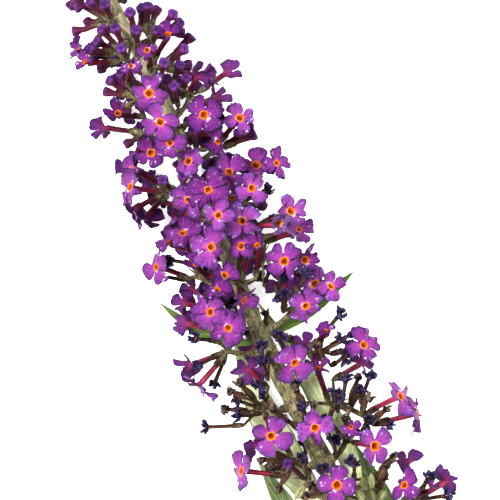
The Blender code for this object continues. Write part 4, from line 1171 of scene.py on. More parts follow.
def addOpenFloret(skin, floret, draw):
    look = openLook
    along = floret.eye[1]
    way = unit(floret.eye - floret.calyx)
    pressed = floret.pressed()
    young = floret.width < look["youngest"]
    tone = draw.uniform(*look["youngTones" if young else "tones"])
    if not young:
        tone = min(max(tone + float(np.interp(along, *look["aged"])), 0.0), 1.0)
    middle = math.atan(floret.cup) + (look["youngCup"] if young else 0.0)
    shape = dict(look, lift=(middle - look["lift"], middle + look["lift"]))
    shape.update(toothDepth=draw.uniform(*look["toothDepth"]), slim=draw.uniform(*look["slim"]))
    if draw.random() < np.interp(along, *look["smoothShare"]):
        shape.update(look["smooth"])
    sideways = 1.0 - abs(floret.facing[2])
    for across, down, reach in look["fadedSpots"]:
        if not pressed and np.linalg.norm(placed(across, down, floret.eye[2]) - floret.eye) < reach:
            shape.update(look["faded"], seed=floret.spin)
            tone = look["fadedTone"]
            sideways = 0.0
    towards = min(max((floret.facing[2] - 0.5) / 0.3, 0.2), 1.0)
    lean = randomWay(draw) * look["tilt"] * towards
    size = float(np.interp(along, *look["size"]))
    size = size + (look["sidewaysSize"] - size) * sideways
    shape["toothDepth"] *= 1.0 - look["sidewaysTeeth"] * sideways
    if young:
        lean = lean * look["youngTilt"]
        size = look["youngSize"]
    if pressed:
        shape.update(look["pressed"])
        lean = lean * 0.0
        size = 1.0
    face = floret.changed(facing=unit(floret.facing + lean), width=floret.width * size)
    neck = face.eye - face.facing * limbLook["neckDepth"] * look["neckShare"]
    addPedicel(skin, floret.hub, floret.calyx, draw.uniform(0.2, 0.8), draw)
    addCalyx(skin, floret.calyx - way * 0.2, way, 1.0, draw.uniform(0.2, 0.9))
    addTube(skin, floret.calyx + way * 0.4, neck, tubeLook["open"], tone, "tube", draw)
    addLimb(skin, face, draw, "petal", shape, tone)


# Buds: a slender tube with a blunt head of four folded lobes, or a small green egg.
# Widths and lobes go with the shares of the length, which keep the head short on a long tube.
budLook = {
    "sides": 20,
    "shares": (0.0, 0.25, 0.5, 0.64, 0.73, 0.80, 0.86, 0.91, 0.95, 0.985, 1.0, 1.0, 0.985, 0.965),
    "widths": (0.46, 0.48, 0.50, 0.54, 0.66, 0.84, 0.97, 1.03, 1.04, 0.98, 0.84, 0.62, 0.38, 0.16),
    "lobes": (0.0, 0.0, 0.0, 0.0, 0.04, 0.07, 0.09, 0.10, 0.09, 0.10, 0.13, 0.14, 0.12, 0.0),
    "greenWidths": (0.50, 0.62, 0.75, 0.86, 0.94, 0.99, 1.0, 0.98, 0.92, 0.83, 0.71, 0.55, 0.36, 0.14),
    "greenLobe": 0.05,
    "greenTone": 0.35,
    "usualWidth": 2.1,
    "headLength": 1.9,
    "crumple": 0.05,
    "wave": 1.1,
}


def addBud(skin, floret, draw):
    green = floret.kind == "green"
    way = unit(floret.eye - floret.calyx)
    size = floret.width / budLook["usualWidth"]
    fresh = budLook["greenTone"] if green else 1.0
    tone = draw.uniform(0.0, 1.0) * fresh
    addPedicel(skin, floret.hub, floret.calyx, draw.uniform(0.2, 0.8) * fresh, draw)
    addCalyx(skin, floret.calyx - way * 0.2, way, 0.9 * min(size, 1.0), draw.uniform(0.1, 0.8) * fresh)
    start = floret.calyx + way * 0.3
    tip = floret.eye + way * floret.width * 0.22
    length = np.linalg.norm(tip - start)
    shares = np.array(budLook["shares"])
    widths = np.array(budLook["widths"])
    lobes = np.array(budLook["lobes"])
    head = min(budLook["headLength"] * floret.width / budLook["usualWidth"], 0.5 * length) / (0.27 * length)
    shares = 1.0 - (1.0 - shares) * np.where(shares > 0.73, head, 1.0)
    shares[:5] = np.linspace(0.0, shares[5] - 0.06, 5)
    if green:
        shares = np.linspace(0.0, 1.0, len(shares))
        widths = np.array(budLook["greenWidths"])
        lobes = np.full(len(shares), budLook["greenLobe"])
    path = curveAt(start, (start + tip) / 2 + crossBow(start, tip, draw) * size, tip, shares)
    first = unit(np.cross(way, guideFor(way)))
    turns = turnsOf(budLook["sides"])
    folds = np.cos(4.0 * (turns + draw.uniform(0.0, math.pi / 2)))
    uneven = 1.0 + draw.uniform(0.0, 0.10) * np.cos(turns + draw.uniform(0.0, 6.0))
    radii = widths[:, None] * floret.width / 2 * (1.0 + lobes[:, None] * folds * uneven)
    rings = path[:, None, :] + radii[..., None] * roundWays(first, np.cross(way, first), turns)
    rings = crumpled(rings, budLook["crumple"] * size, budLook["wave"], draw)
    reach = np.linspace(0.0, 1.0, len(shares))[:, None]
    grooves = folds * (reach > 0.3)
    if green:
        skin.addPart(rings, "felt", 2.0, tone, 0.50 * grooves - 0.25)
    else:
        skin.addPart(rings, "bud", reach, tone, grooves)


# Withered florets: a shrunken tube and a limb of crumpled, rolled-in lobes.
witheredLook = {
    "points": 18,
    "lift": (-0.2, 1.0),
    "curl": (1.0, 3.4),
    "fold": (-0.5, 0.7),
    "twist": 0.45,
    "ripple": 0.12,
    "crease": 0.05,
    "stray": 0.0,
    "slim": 1.08,
    "toothDepth": 0.05,
    "crumple": 0.15,
    "wave": 0.78,
    "underRows": (0.3, 0.8),
    "topRows": (0.85, 0.6, 0.3),
    "size": 1.38,
    "calyxSize": 0.8,
    "tones": (0.0, 0.45),
}
dryLook = {"lift": (0.5, 1.6), "crumple": 0.20, "size": 1.25, "calyxSize": 0.88, "tones": (0.75, 1.0)}


def addWithered(skin, floret, draw):
    shape = dict(witheredLook, **(dryLook if floret.kind == "dry" else {}))
    way = unit(floret.eye - floret.calyx)
    tone = draw.uniform(*shape["tones"])
    felt = draw.uniform(0.35, 1.0)
    addPedicel(skin, floret.hub, floret.calyx, felt, draw)
    addCalyx(skin, floret.calyx - way * 0.2, way, shape["calyxSize"], felt)
    foot, end = floret.calyx + way * 0.4, floret.eye - way * 0.6
    addTube(skin, foot, end, tubeLook[floret.kind], tone, "withered", draw, tubeLook["witheredFolds"], 0.85)
    head = floret.changed(eye=floret.eye - way * 0.3, facing=unit(way), width=floret.width * shape["size"],
                          spin=floret.spin + draw.uniform(0.0, 90.0))
    shape["seed"] = draw.random()
    addLimb(skin, head, draw, "withered", shape, tone)


makers = {
    "open": addOpenFloret, "bud": addBud, "green": addBud, "withered": addWithered, "dry": addWithered,
}

# A spray: its stalk, heads, small bracts and florets. Its felt is browner low on the spike, and
# its bracts are shorter near the tip.
stalkLook = {
    "sides": 10,
    "rings": 12,
    "footRadius": 0.95,
    "radius": 0.48,
    "sunk": 0.9,
    "hubRadius": 0.68,
    "hubSides": 12,
    "bractLength": 2.6,
    "bractWidth": 0.55,
    "bracts": 3,
    "browner": ((-60.0, -20.0, 20.0, 60.0), (0.75, 0.6, 0.35, 0.3)),
    "shorter": ((50.0, 90.0), (1.0, 0.5)),
    "seed": 1000,
}


def addStalk(skin, points, tone, fromStem):
    steps = np.linspace(0.0, 1.0, stalkLook["rings"])
    path = resampled(points, steps)
    radius = foot = stalkLook["radius"]
    if fromStem:
        path[0] = path[0] - unit(path[2] - path[0]) * stalkLook["sunk"]
        foot = stalkLook["footRadius"]
    radii = np.interp(steps, (0.0, 0.3, 1.0), (foot, radius, radius * 1.1))
    rings = roundRings(path, radii, stalkLook["sides"], 0.06, 4, 0.5)
    darker = 0.05 - 0.6 * palerAt(path[0]) + 0.35 * steps[:, None]
    skin.addPart(rings, "felt", steps[:, None], tone, darker)
    addHairs(skin, rings, hairLook["stalk"], tone, random.Random(len(skin.points)))


def addHub(skin, hub, way, tone):
    # The small head that the pedicels grow from.
    shares = np.linspace(-1.0, 1.0, 8)
    path = hub + shares[:, None] * unit(way) * stalkLook["hubRadius"] * 1.2
    radii = stalkLook["hubRadius"] * np.sqrt(np.clip(1.05 - shares ** 2, 0.05, 1.0))
    rings = roundRings(path, radii, stalkLook["hubSides"], 0.14, 3, 1.0)
    skin.addPart(rings, "felt", 0.5, tone, 0.45 - palerAt(hub))


def bladeRings(middle, halves, above, thickness, sides, fold, waves=0.0):
    # A thin closed blade: each ring goes out along one face and back along the other.
    side, face = np.cos(turnsOf(sides)), np.sin(turnsOf(sides))
    ahead = units(np.gradient(middle, axis=0))
    right = units(np.cross(ahead, above))
    up = np.cross(right, ahead)
    half = halves[:, None]
    lift = half * fold * side ** 2 + thickness / 2 * np.sign(face) * np.abs(face) ** 0.4 + waves
    outwards = (half * side)[..., None] * right[:, None, :]
    return middle[:, None, :] + outwards + lift[..., None] * up[:, None, :]


def addBract(skin, start, way, length, width, draw):
    steps = np.linspace(0.0, 1.0, 7)
    middle = start + steps[:, None] * way * length + steps[:, None] ** 2 * (upward * (-0.15 * length))
    halves = width / 2 * np.sin(math.pi * (0.12 + 0.86 * steps)) + 0.05
    rings = bladeRings(middle, halves, unit(np.cross(way, guideFor(way))), 0.16, 8, 0.3)
    skin.addPart(rings, "felt", steps[:, None], draw.uniform(0.0, 0.5), 0.3)


def sprayPiece(number, spray):
    draw = random.Random(stalkLook["seed"] + number)
    skin = Skin()
    tone = float(np.interp(spray.along, *stalkLook["browner"]))
    shorter = float(np.interp(spray.along, *stalkLook["shorter"]))
    for index, stalk in enumerate(spray.stalks):
        addStalk(skin, stalk, tone, index == 0)
    for hub in spray.hubs:
        way = hub - spray.stalks[0][0]
        addHub(skin, hub, way, tone)
        ahead = unit(way)
        first = squareTo(ahead, guideFor(way))
        for turn in range(stalkLook["bracts"]):
            angle = 2.1 * turn + draw.uniform(0.0, 1.0)
            out = unit(turned(first, np.cross(ahead, first), angle) + ahead * 0.9)
            length = stalkLook["bractLength"] * draw.uniform(0.7, 1.2) * shorter
            addBract(skin, hub + out * 0.5, out, length, stalkLook["bractWidth"], draw)
    for floret in spray.florets:
        makers[floret.kind](skin, floret, draw)
    skin.makePiece(spray.name + "_fine", slotOf[spray.name], spray.name)


# The stem: slightly four-angled, swollen where sprays grow, and cut at its foot.
# Brown and paleness are given at shares of its length from the foot; the cut end's rows are
# share of the radius, lift and reach.
stemLook = {
    "sides": 24,
    "step": 1.1,
    "swellLength": 1.6,
    "swellHeight": 0.22,
    "mostSwell": 1.3,
    "angles": 0.05,
    "wander": 0.05,
    "wave": 7.0,
    "brown": ((0.0, 0.35, 1.0), (0.62, 0.42, 0.30)),
    "paleness": (
        (0.0, 0.10, 0.24, 0.36, 0.46, 0.57, 0.75, 1.0), (0.04, 0.12, 0.22, 0.18, 0.0, -0.26, -0.50, -0.10),
    ),
    "cutEnd": ((0.45, 0.12, -1.0), (0.8, 0.0, -0.8), (0.96, -0.02, -0.3)),
    "hairTone": 0.35,
    "seed": 11,
}


def stemPiece():
    skin = Skin()
    draw = random.Random(stemLook["seed"])
    foot = stemLine[0][0]
    top = stemLine[-1][0]
    places = np.linspace(foot, top, int((top - foot) / stemLook["step"]))
    path = np.array([stemAt(place) for place in places])
    nodes = sorted({place[1] for place in sprayPlaces + leafPlaces})
    swell = 1.0 + sum(
        stemLook["swellHeight"] * np.exp(-((places - node) / stemLook["swellLength"]) ** 2) for node in nodes
    )
    radii = np.array([stemRadius(place) for place in places]) * np.minimum(swell, stemLook["mostSwell"])
    rings = roundRings(path, radii, stemLook["sides"], stemLook["angles"], 4, 0.4)
    rings = crumpled(rings, stemLook["wander"], stemLook["wave"], draw)
    centre = rings[0].mean(axis=0)
    ends = []
    for share, lift, _ in stemLook["cutEnd"]:
        ends.append(centre + (rings[0] - centre) * share + np.array([0.0, lift, 0.0]))
    rings = np.concatenate([ends, rings])
    reach = [row[2] for row in stemLook["cutEnd"]]
    reach = np.append(reach, (places - foot) / (top - foot))[:, None]
    tone = np.interp(reach, *stemLook["brown"])
    skin.addPart(rings, "felt", reach, tone, np.interp(reach, *stemLook["paleness"]))
    addHairs(skin, rings[len(ends):], hairLook["stem"], stemLook["hairTone"], draw)
    for floret in tipFlorets():
        floret.hub = floret.foot
        addBud(skin, floret, draw)
    skin.makePiece("stem_fine", "stem_felt", "stem")


# Leaves: widths are times the solid's, tones are times how pale the felt is, both by the words in the
# names; veins are pairs of side veins. The low tone of the lower leaves is painted shade on their felt.
leafLook = {
    "stations": 42,
    "sides": 32,
    "thickness": 0.30,
    "rooted": 0.8,
    "widths": {"bract": 0.58, "upper_left": 0.50, "upper_right": 0.42, "lower": 0.50},
    "teeth": 26.0,
    "toothDepth": 0.045,
    "tipHalf": 0.08,
    "wave": 0.35,
    "vein": 0.10,
    "veins": 9.0,
    "slant": 1.6,
    "tone": 0.8,
    "lowerTone": 0.12,
}


def leafPiece(name, middle, halves):
    skin = Skin()
    phase = random.Random(name).uniform(0.0, 6.0)
    steps = np.linspace(0.0, 1.0, leafLook["stations"])
    path = smoothed(resampled(middle, steps), 3)
    path[0] = path[0] + unit(stemAt(path[0][1]) - path[0]) * leafLook["rooted"]
    share = next(value for part, value in leafLook["widths"].items() if part in name)
    half = np.interp(steps, np.linspace(0.0, 1.0, len(middle)), halves)
    half = half * (share + (1.0 - share) * np.clip(1.0 - steps / 0.10, 0.0, 1.0))
    half = half * (1.0 + leafLook["toothDepth"] * np.abs(np.sin(math.pi * leafLook["teeth"] * steps)))
    half[-1] = leafLook["tipHalf"]
    side, face = np.cos(turnsOf(leafLook["sides"])), np.sin(turnsOf(leafLook["sides"]))
    out = np.abs(side)
    along = steps[:, None]
    ripple = np.sin(along * 17.0 + phase + np.sign(side) * 1.3) * out ** 3
    rib = np.cos((along * leafLook["veins"] - out * leafLook["slant"]) * 2.0 * math.pi)
    raised = np.clip(rib, 0.0, 1.0) ** 6 * (out > 0.06) * (out < 0.9)
    midrib = np.exp(-(side / 0.07) ** 2) * 1.6
    waves = leafLook["wave"] * ripple + leafLook["vein"] * (raised + midrib)
    waves = waves * np.minimum(half[:, None] / 4.0, 1.0)
    rings = bladeRings(path, half, upward, leafLook["thickness"], leafLook["sides"], leafFold, waves)
    rings = rings + upward * (leafThickness / 2)
    felted = (face < 0.0) if "bract" in name else (face >= 0.0)
    tone = leafLook["lowerTone" if "lower" in name else "tone"]
    skin.addPart(rings, "leaf", along, tone, side, felted.astype(float))
    skin.makePiece(name + "_fine", "leaf_green", name)


def shiftFromSolid(name, middle, halves):
    # How far the solids were moved to stand on the surface, read from one blade's box.
    points = []
    for index, centre in enumerate(middle):
        before = middle[max(index - 1, 0)]
        after = middle[min(index + 1, len(middle) - 1)]
        direction = unit(after - before)
        across = unit(np.cross(direction, upward))
        above = np.cross(across, direction)
        edge = above * halves[index] * leafFold
        for place in (centre - across * halves[index] + edge, centre, centre + across * halves[index] + edge):
            points += [place, place + above * leafThickness]
    low = np.array(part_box(name)[0]) / metre
    return low - np.array(points).min(axis=0)


# Finishes. Sums and products of node outputs are made by the small functions that come first.
def setInput(node, key, value):
    # Links an input to an output, or gives it a plain number, colour or direction.
    socket = node.inputs[key]
    if isinstance(value, bpy.types.NodeSocket):
        node.id_data.links.new(value, socket)
    else:
        socket.default_value = (*value, 1.0) if socket.type == "RGBA" else value


def addNode(tree, kind, *inputs, **values):
    # Names with a capital are the node's inputs, the others its settings; inputs may also go in order.
    node = tree.nodes.new("ShaderNode" + kind)
    for name, value in values.items():
        if name[0].islower():
            setattr(node, name, value)
    for key, value in (*enumerate(inputs), *values.items()):
        if isinstance(key, int) or key[0].isupper():
            setInput(node, key, value)
    return node


def doMath(how, *values, clamp=False):
    tree = next(value.id_data for value in values if isinstance(value, bpy.types.NodeSocket))
    return addNode(tree, "Math", *values, operation=how, use_clamp=clamp).outputs[0]


def inTurn(how, values, clamp):
    # Two at a time; only the last result is kept between 0 and 1.
    total = values[0]
    for value in values[1:]:
        total = doMath(how, total, value)
    total.node.use_clamp = clamp
    return total


def times(*values, clamp=False):
    return inTurn("MULTIPLY", values, clamp)


def plus(*values, clamp=False):
    return inTurn("ADD", values, clamp)


def less(*values, clamp=False):
    return inTurn("SUBTRACT", values, clamp)


def scaled(value, gain, base, clamp=False):
    return doMath("MULTIPLY_ADD", value, gain, base, clamp=clamp)


def stretch(value, low, gain):
    # A value from low upwards, multiplied and kept between 0 and 1.
    return times(less(value, low), gain, clamp=True)


def addRamp(factor, stops):
    node = addNode(factor.id_data, "ValToRGB", Fac=factor)
    ramp = node.color_ramp
    ramp.elements.remove(ramp.elements[-1])
    ramp.elements[0].position = stops[0][0]
    ramp.elements[0].color = (*stops[0][1], 1.0)
    for place, colour in stops[1:]:
        ramp.elements.new(place).color = (*colour, 1.0)
    return node.outputs["Color"]


def laidOver(base, colour, amount, share=1.0):
    # A colour over a base where the amount says, at most by this share.
    amount = amount if share == 1.0 else times(amount, share)
    node = addNode(amount.id_data, "Mix", amount, data_type="RGBA")
    setInput(node, 6, base)
    setInput(node, 7, colour)
    return node.outputs[2]


def mask(tree, name):
    return addNode(tree, "Attribute", attribute_name=name).outputs["Fac"]


def newGroup(name, inputs, outputs):
    # A group of plain numbers, with its tree and its ends as nodes inside see them.
    group = bpy.data.node_groups.new(name, "ShaderNodeTree")
    for label, value in inputs.items():
        socket = group.interface.new_socket(name=label, in_out="INPUT", socket_type="NodeSocketFloat")
        socket.default_value = value
    for label in outputs:
        group.interface.new_socket(name=label, in_out="OUTPUT", socket_type="NodeSocketFloat")
    return group, group.nodes.new("NodeGroupInput").outputs, group.nodes.new("NodeGroupOutput")


def texture(kind, place, scale, **values):
    node = addNode(place.id_data, "Tex" + kind, Vector=place, **values)
    setInput(node, "Scale", scale)
    return node.outputs


def buildPetalGrain():
    # Fine cells, soft blotches, finer mottling and small dark specks, as on petals and buds.
    group, given, result = newGroup(
        "petalGrain", {"Cell Size": 3800.0, "Blotch Size": 700.0}, ("Blotch", "Mottle", "Speck", "Height"),
    )
    place = addNode(group, "TexCoord").outputs["Object"]
    cells = texture("Voronoi", place, given["Cell Size"])[0]
    fine = texture("Noise", place, given["Cell Size"], Detail=2.0)[0]
    mottle = texture("Noise", place, times(given["Blotch Size"], 3.4), Detail=2.0)[0]
    specks = texture("Voronoi", place, times(given["Cell Size"], 0.30))[0]
    setInput(result, "Blotch", texture("Noise", place, given["Blotch Size"], Detail=3.0)[0])
    setInput(result, "Mottle", mottle)
    setInput(result, "Speck", doMath("LESS_THAN", specks, 0.17))
    setInput(result, "Height", plus(cells, fine, times(mottle, 2.2)))
    return group


def buildFeltFibres():
    # Matted short hairs: streaks and tangles in light and dark.
    group, given, result = newGroup(
        "feltFibres", {"Size": 2600.0, "Patch Size": 420.0}, ("Fibre", "Patch", "Height"),
    )
    place = addNode(group, "TexCoord").outputs["Object"]
    warp = texture("Noise", place, given["Patch Size"], Detail=2.0)["Color"]
    moved = addNode(group, "VectorMath", warp, (0.0011, 0.0011, 0.0011), place, operation="MULTIPLY_ADD")
    moved = moved.outputs[0]
    drawnOut = addNode(group, "Mapping", Vector=moved, Scale=(1.0, 0.20, 1.0)).outputs[0]
    hairs = texture("Noise", drawnOut, given["Size"], Detail=4.0, Roughness=0.7)[0]
    tangle = texture("Voronoi", moved, given["Size"], feature="DISTANCE_TO_EDGE")[0]
    setInput(result, "Fibre", hairs)
    setInput(result, "Patch", texture("Noise", place, given["Patch Size"], Detail=3.0)[0])
    setInput(result, "Height", less(hairs, times(tangle, 0.8)))
    return group


def newFinish(name, look, group=None):
    # A material with its tree and the outputs of its pattern group. A look holds the shader's plain
    # values, the sizes of the pattern, the bump's depth in metres and strength, and the colours.
    material = bpy.data.materials.new(name)
    material.use_nodes = True
    tree = material.node_tree
    for label, value in look["shader"].items():
        setInput(tree.nodes["Principled BSDF"], label, value)
    if group is None:
        return material, tree, None
    pattern = tree.nodes.new("ShaderNodeGroup")
    pattern.node_tree = group
    for socket, value in zip(pattern.inputs, look["pattern"]):
        socket.default_value = value
    return material, tree, pattern.outputs


def finishWith(material, look, colour, roughness, height):
    tree = material.node_tree
    depth, strength = look["bump"]
    bump = addNode(tree, "Bump", Height=height, Strength=strength, Distance=depth).outputs[0]
    for label, value in (("Base Color", colour), ("Roughness", roughness), ("Normal", bump)):
        setInput(tree.nodes["Principled BSDF"], label, value)
    return material


# Petals: reach runs from 0 deep in the throat over 1 at the rim of the eye to 2 at the margin, and
# the ramps read half of it. Tone goes from young to old, and above 1 to faded. Across is the
# place between the lobe's sides, and under marks the back.
petalSkinLook = {
    "shader": {"Specular IOR Level": 0.18},
    "pattern": (5200.0, 560.0),
    "bump": (0.00012, 1.0),
    "young": (
        (0.00, (0.30, 0.140, 0.080)), (0.06, (0.22, 0.085, 0.045)), (0.10, (0.070, 0.012, 0.003)),
        (0.16, (0.13, 0.018, 0.002)), (0.21, (0.38, 0.052, 0.001)),
        (0.30, (0.54, 0.105, 0.000)), (0.38, (0.62, 0.170, 0.000)), (0.44, (0.62, 0.235, 0.000)),
        (0.488, (0.64, 0.27, 0.002)), (0.503, (0.26, 0.030, 0.14)),
        (0.53, (0.190, 0.022, 0.200)), (0.66, (0.165, 0.018, 0.190)), (0.84, (0.120, 0.014, 0.155)),
        (0.94, (0.070, 0.010, 0.110)), (0.975, (0.024, 0.005, 0.050)), (1.00, (0.008, 0.003, 0.022)),
    ),
    "old": (
        (0.00, (0.30, 0.140, 0.080)), (0.06, (0.22, 0.085, 0.045)), (0.10, (0.070, 0.012, 0.003)),
        (0.16, (0.15, 0.020, 0.002)), (0.21, (0.40, 0.056, 0.001)),
        (0.30, (0.55, 0.112, 0.000)), (0.38, (0.64, 0.185, 0.000)), (0.44, (0.64, 0.260, 0.000)),
        (0.488, (0.70, 0.33, 0.004)), (0.503, (0.48, 0.14, 0.26)),
        (0.53, (0.41, 0.098, 0.36)), (0.64, (0.340, 0.070, 0.325)), (0.80, (0.275, 0.061, 0.295)),
        (0.93, (0.200, 0.052, 0.250)), (0.975, (0.100, 0.026, 0.165)), (1.00, (0.022, 0.007, 0.058)),
    ),
    "under": (
        (0.00, (0.20, 0.018, 0.050)), (0.50, (0.28, 0.042, 0.125)), (0.58, (0.23, 0.042, 0.170)),
        (0.72, (0.195, 0.052, 0.240)), (0.94, (0.130, 0.036, 0.190)), (1.00, (0.020, 0.007, 0.050)),
    ),
    "eyeShade": (0.26, 0.036, 0.000),
    "blue": (0.245, 0.125, 0.475),
    "faded": (0.190, 0.135, 0.270),
    "speck": (0.13, 0.008, 0.06),
    "shade": (0.095, 0.010, 0.125),
    # The colour of the painted highlights on the lobes and beside the eye.
    "pale": (0.78, 0.66, 0.84),
}


def petalFinish():
    look = petalSkinLook
    material, tree, grain = newFinish("petalSkin", look, petalGrain)
    blotch = grain["Blotch"]
    mottle = grain["Mottle"]
    tone = mask(tree, "tone")
    half = plus(times(mask(tree, "reach"), 0.5), scaled(mottle, 0.11, -0.055))
    onLobe = stretch(half, 0.515, 12.0)
    inEye = less(1.0, stretch(half, 0.42, 12.0), clamp=True)
    top = laidOver(addRamp(half, look["young"]), addRamp(half, look["old"]), doMath("POWER", tone, 0.7))
    # Dark granules in the eye: painted shade of its small furrows.
    top = laidOver(top, look["eyeShade"], times(stretch(mottle, 0.47, 7.0), inEye), 0.6)
    bluish = times(stretch(blotch, 0.46, 5.0), stretch(half, 0.62, 3.0), stretch(tone, 0.35, 1.8))
    top = laidOver(top, look["blue"], bluish, 0.78)
    veins = doMath("SINE", times(mask(tree, "across"), 30.0))
    veins = scaled(veins, 0.22, stretch(mottle, 0.42, 4.0))
    top = laidOver(top, look["shade"], times(veins, onLobe, 0.42, clamp=True))
    # Painted highlights: pale glints near the margins and in some places beside the eye.
    paintedGlint = times(stretch(mottle, 0.54, 8.0), stretch(half, 0.64, 5.0), stretch(blotch, 0.55, 9.0))
    besideEye = less(stretch(half, 0.46, 20.0), stretch(half, 0.56, 14.0), clamp=True)
    paintedGlint = doMath("MAXIMUM", paintedGlint, times(besideEye, stretch(blotch, 0.61, 12.0)))
    top = laidOver(top, look["pale"], paintedGlint, 0.85)
    top = laidOver(top, look["speck"], times(grain["Speck"], onLobe), 0.6)
    # The back, darker on young petals.
    under = laidOver(addRamp(half, look["under"]), look["shade"], stretch(mottle, 0.42, 3.0), 0.35)
    under = laidOver(under, look["shade"], scaled(tone, -0.9, 0.62, clamp=True))
    colour = laidOver(top, under, mask(tree, "under"))
    colour = laidOver(colour, look["faded"], times(less(tone, 1.0, clamp=True), onLobe), 0.66)
    return finishWith(material, look, colour, scaled(mottle, -0.7, 0.72), grain["Height"])


# Tubes: reach runs from the calyx to the face, tone brightens, across streaks them round.
tubeSkinLook = {
    "shader": {"Specular IOR Level": 0.18},
    "pattern": (3600.0, 700.0),
    "bump": (0.00006, 0.7),
    "dark": ((0.0, (0.030, 0.010, 0.008)), (0.25, (0.048, 0.003, 0.010)), (0.8, (0.080, 0.002, 0.019)),
             (1.0, (0.13, 0.008, 0.045))),
    "bright": ((0.0, (0.13, 0.055, 0.028)), (0.3, (0.22, 0.027, 0.038)), (0.7, (0.31, 0.016, 0.062)),
               (1.0, (0.42, 0.050, 0.13))),
    "streak": (0.030, 0.001, 0.011),
    "pale": (0.48, 0.105, 0.165),
}


def tubeFinish():
    look = tubeSkinLook
    material, tree, grain = newFinish("tubeSkin", look, petalGrain)
    reach = mask(tree, "reach")
    streaks = mask(tree, "across")
    share = plus(stretch(mask(tree, "tone"), 0.12, 1.2), less(grain["Blotch"], 0.5), clamp=True)
    colour = laidOver(addRamp(reach, look["dark"]), addRamp(reach, look["bright"]), share)
    darker = plus(times(streaks, 0.55), times(stretch(grain["Mottle"], 0.45, 3.0), 0.4), clamp=True)
    colour = laidOver(colour, look["streak"], darker, 0.75)
    colour = laidOver(colour, look["pale"], times(times(streaks, -0.5, clamp=True), share))
    return finishWith(material, look, colour, scaled(grain["Blotch"], 0.3, 0.34), grain["Height"])


# Buds: reach and tone as on tubes, across below 0 lies in the grooves between the folded lobes,
# which are darkened there as painted shade; paler patches on the head are painted highlights.
budSkinLook = {
    "shader": {"Specular IOR Level": 0.18},
    "pattern": (4200.0, 800.0),
    "bump": (0.00007, 0.8),
    "dark": ((0.0, (0.050, 0.026, 0.018)), (0.30, (0.060, 0.010, 0.030)), (0.55, (0.065, 0.012, 0.060)),
             (0.68, (0.075, 0.018, 0.11)), (0.86, (0.055, 0.014, 0.10)), (1.0, (0.032, 0.009, 0.060))),
    "bright": ((0.0, (0.095, 0.045, 0.032)), (0.30, (0.16, 0.016, 0.055)), (0.55, (0.17, 0.024, 0.12)),
               (0.68, (0.18, 0.042, 0.24)), (0.86, (0.15, 0.036, 0.23)), (1.0, (0.075, 0.018, 0.13))),
    "groove": (0.022, 0.006, 0.040),
    # The colour of the painted highlights on the heads.
    "pale": (0.26, 0.10, 0.38),
}


def budFinish():
    look = budSkinLook
    material, tree, grain = newFinish("budSkin", look, petalGrain)
    reach = mask(tree, "reach")
    share = plus(scaled(mask(tree, "tone"), 0.8, -0.05), less(grain["Blotch"], 0.5), clamp=True)
    colour = laidOver(addRamp(reach, look["dark"]), addRamp(reach, look["bright"]), share)
    # Paler mottled patches on the head: painted highlights.
    paler = times(stretch(grain["Mottle"], 0.52, 4.0), stretch(reach, 0.4, 4.0))
    colour = laidOver(colour, look["pale"], paler, 0.35)
    # Darker in the grooves between the folded lobes: painted shade.
    colour = laidOver(colour, look["groove"], stretch(times(mask(tree, "across"), -1.0), 0.35, 1.6), 0.8)
    return finishWith(material, look, colour, scaled(grain["Mottle"], 0.5, 0.25), grain["Height"])


# Felt: reach below 0 is the cut end and above 1 fresh green, tone turns it brown, and across
# turns it dark and plum, or paler where it is below 0.
feltSkinLook = {
    "shader": {"Sheen Weight": 0.04, "Sheen Roughness": 0.6, "Specular IOR Level": 0.10},
    "pattern": (3400.0, 620.0),
    "bump": (0.00018, 1.0),
    "green": (0.182, 0.165, 0.076),
    "pale": (0.54, 0.48, 0.325),
    "olive": (0.064, 0.054, 0.022),
    "brown": (0.215, 0.128, 0.082),
    "deepBrown": (0.030, 0.014, 0.010),
    "plum": (0.022, 0.003, 0.007),
    "plumLight": (0.120, 0.058, 0.048),
    "pith": (0.50, 0.54, 0.33),
    "fresh": (0.30, 0.34, 0.11),
}


def feltFinish():
    look = feltSkinLook
    material, tree, fibres = newFinish("feltSkin", look, feltFibres)
    contrast = stretch(fibres["Fibre"], 0.40, 4.6)
    patches = stretch(fibres["Patch"], 0.42, 5.0)
    across = mask(tree, "across")
    reach = mask(tree, "reach")
    colour = laidOver(look["olive"], look["green"], patches)
    colour = laidOver(colour, look["pale"], less(times(contrast, 0.7), across, clamp=True))
    brown = laidOver(look["deepBrown"], look["brown"], contrast)
    colour = laidOver(colour, brown, stretch(mask(tree, "tone"), 0.45, 1.9), 0.78)
    plum = laidOver(look["plum"], look["plumLight"], contrast, 0.7)
    colour = laidOver(colour, plum, times(scaled(patches, -0.35, across, clamp=True), 1.3, clamp=True))
    colour = laidOver(colour, look["fresh"], less(reach, 1.0, clamp=True), 0.5)
    colour = laidOver(colour, look["pith"], times(reach, -1.6, clamp=True))
    return finishWith(material, look, colour, scaled(fibres["Fibre"], 0.2, 0.72), fibres["Height"])


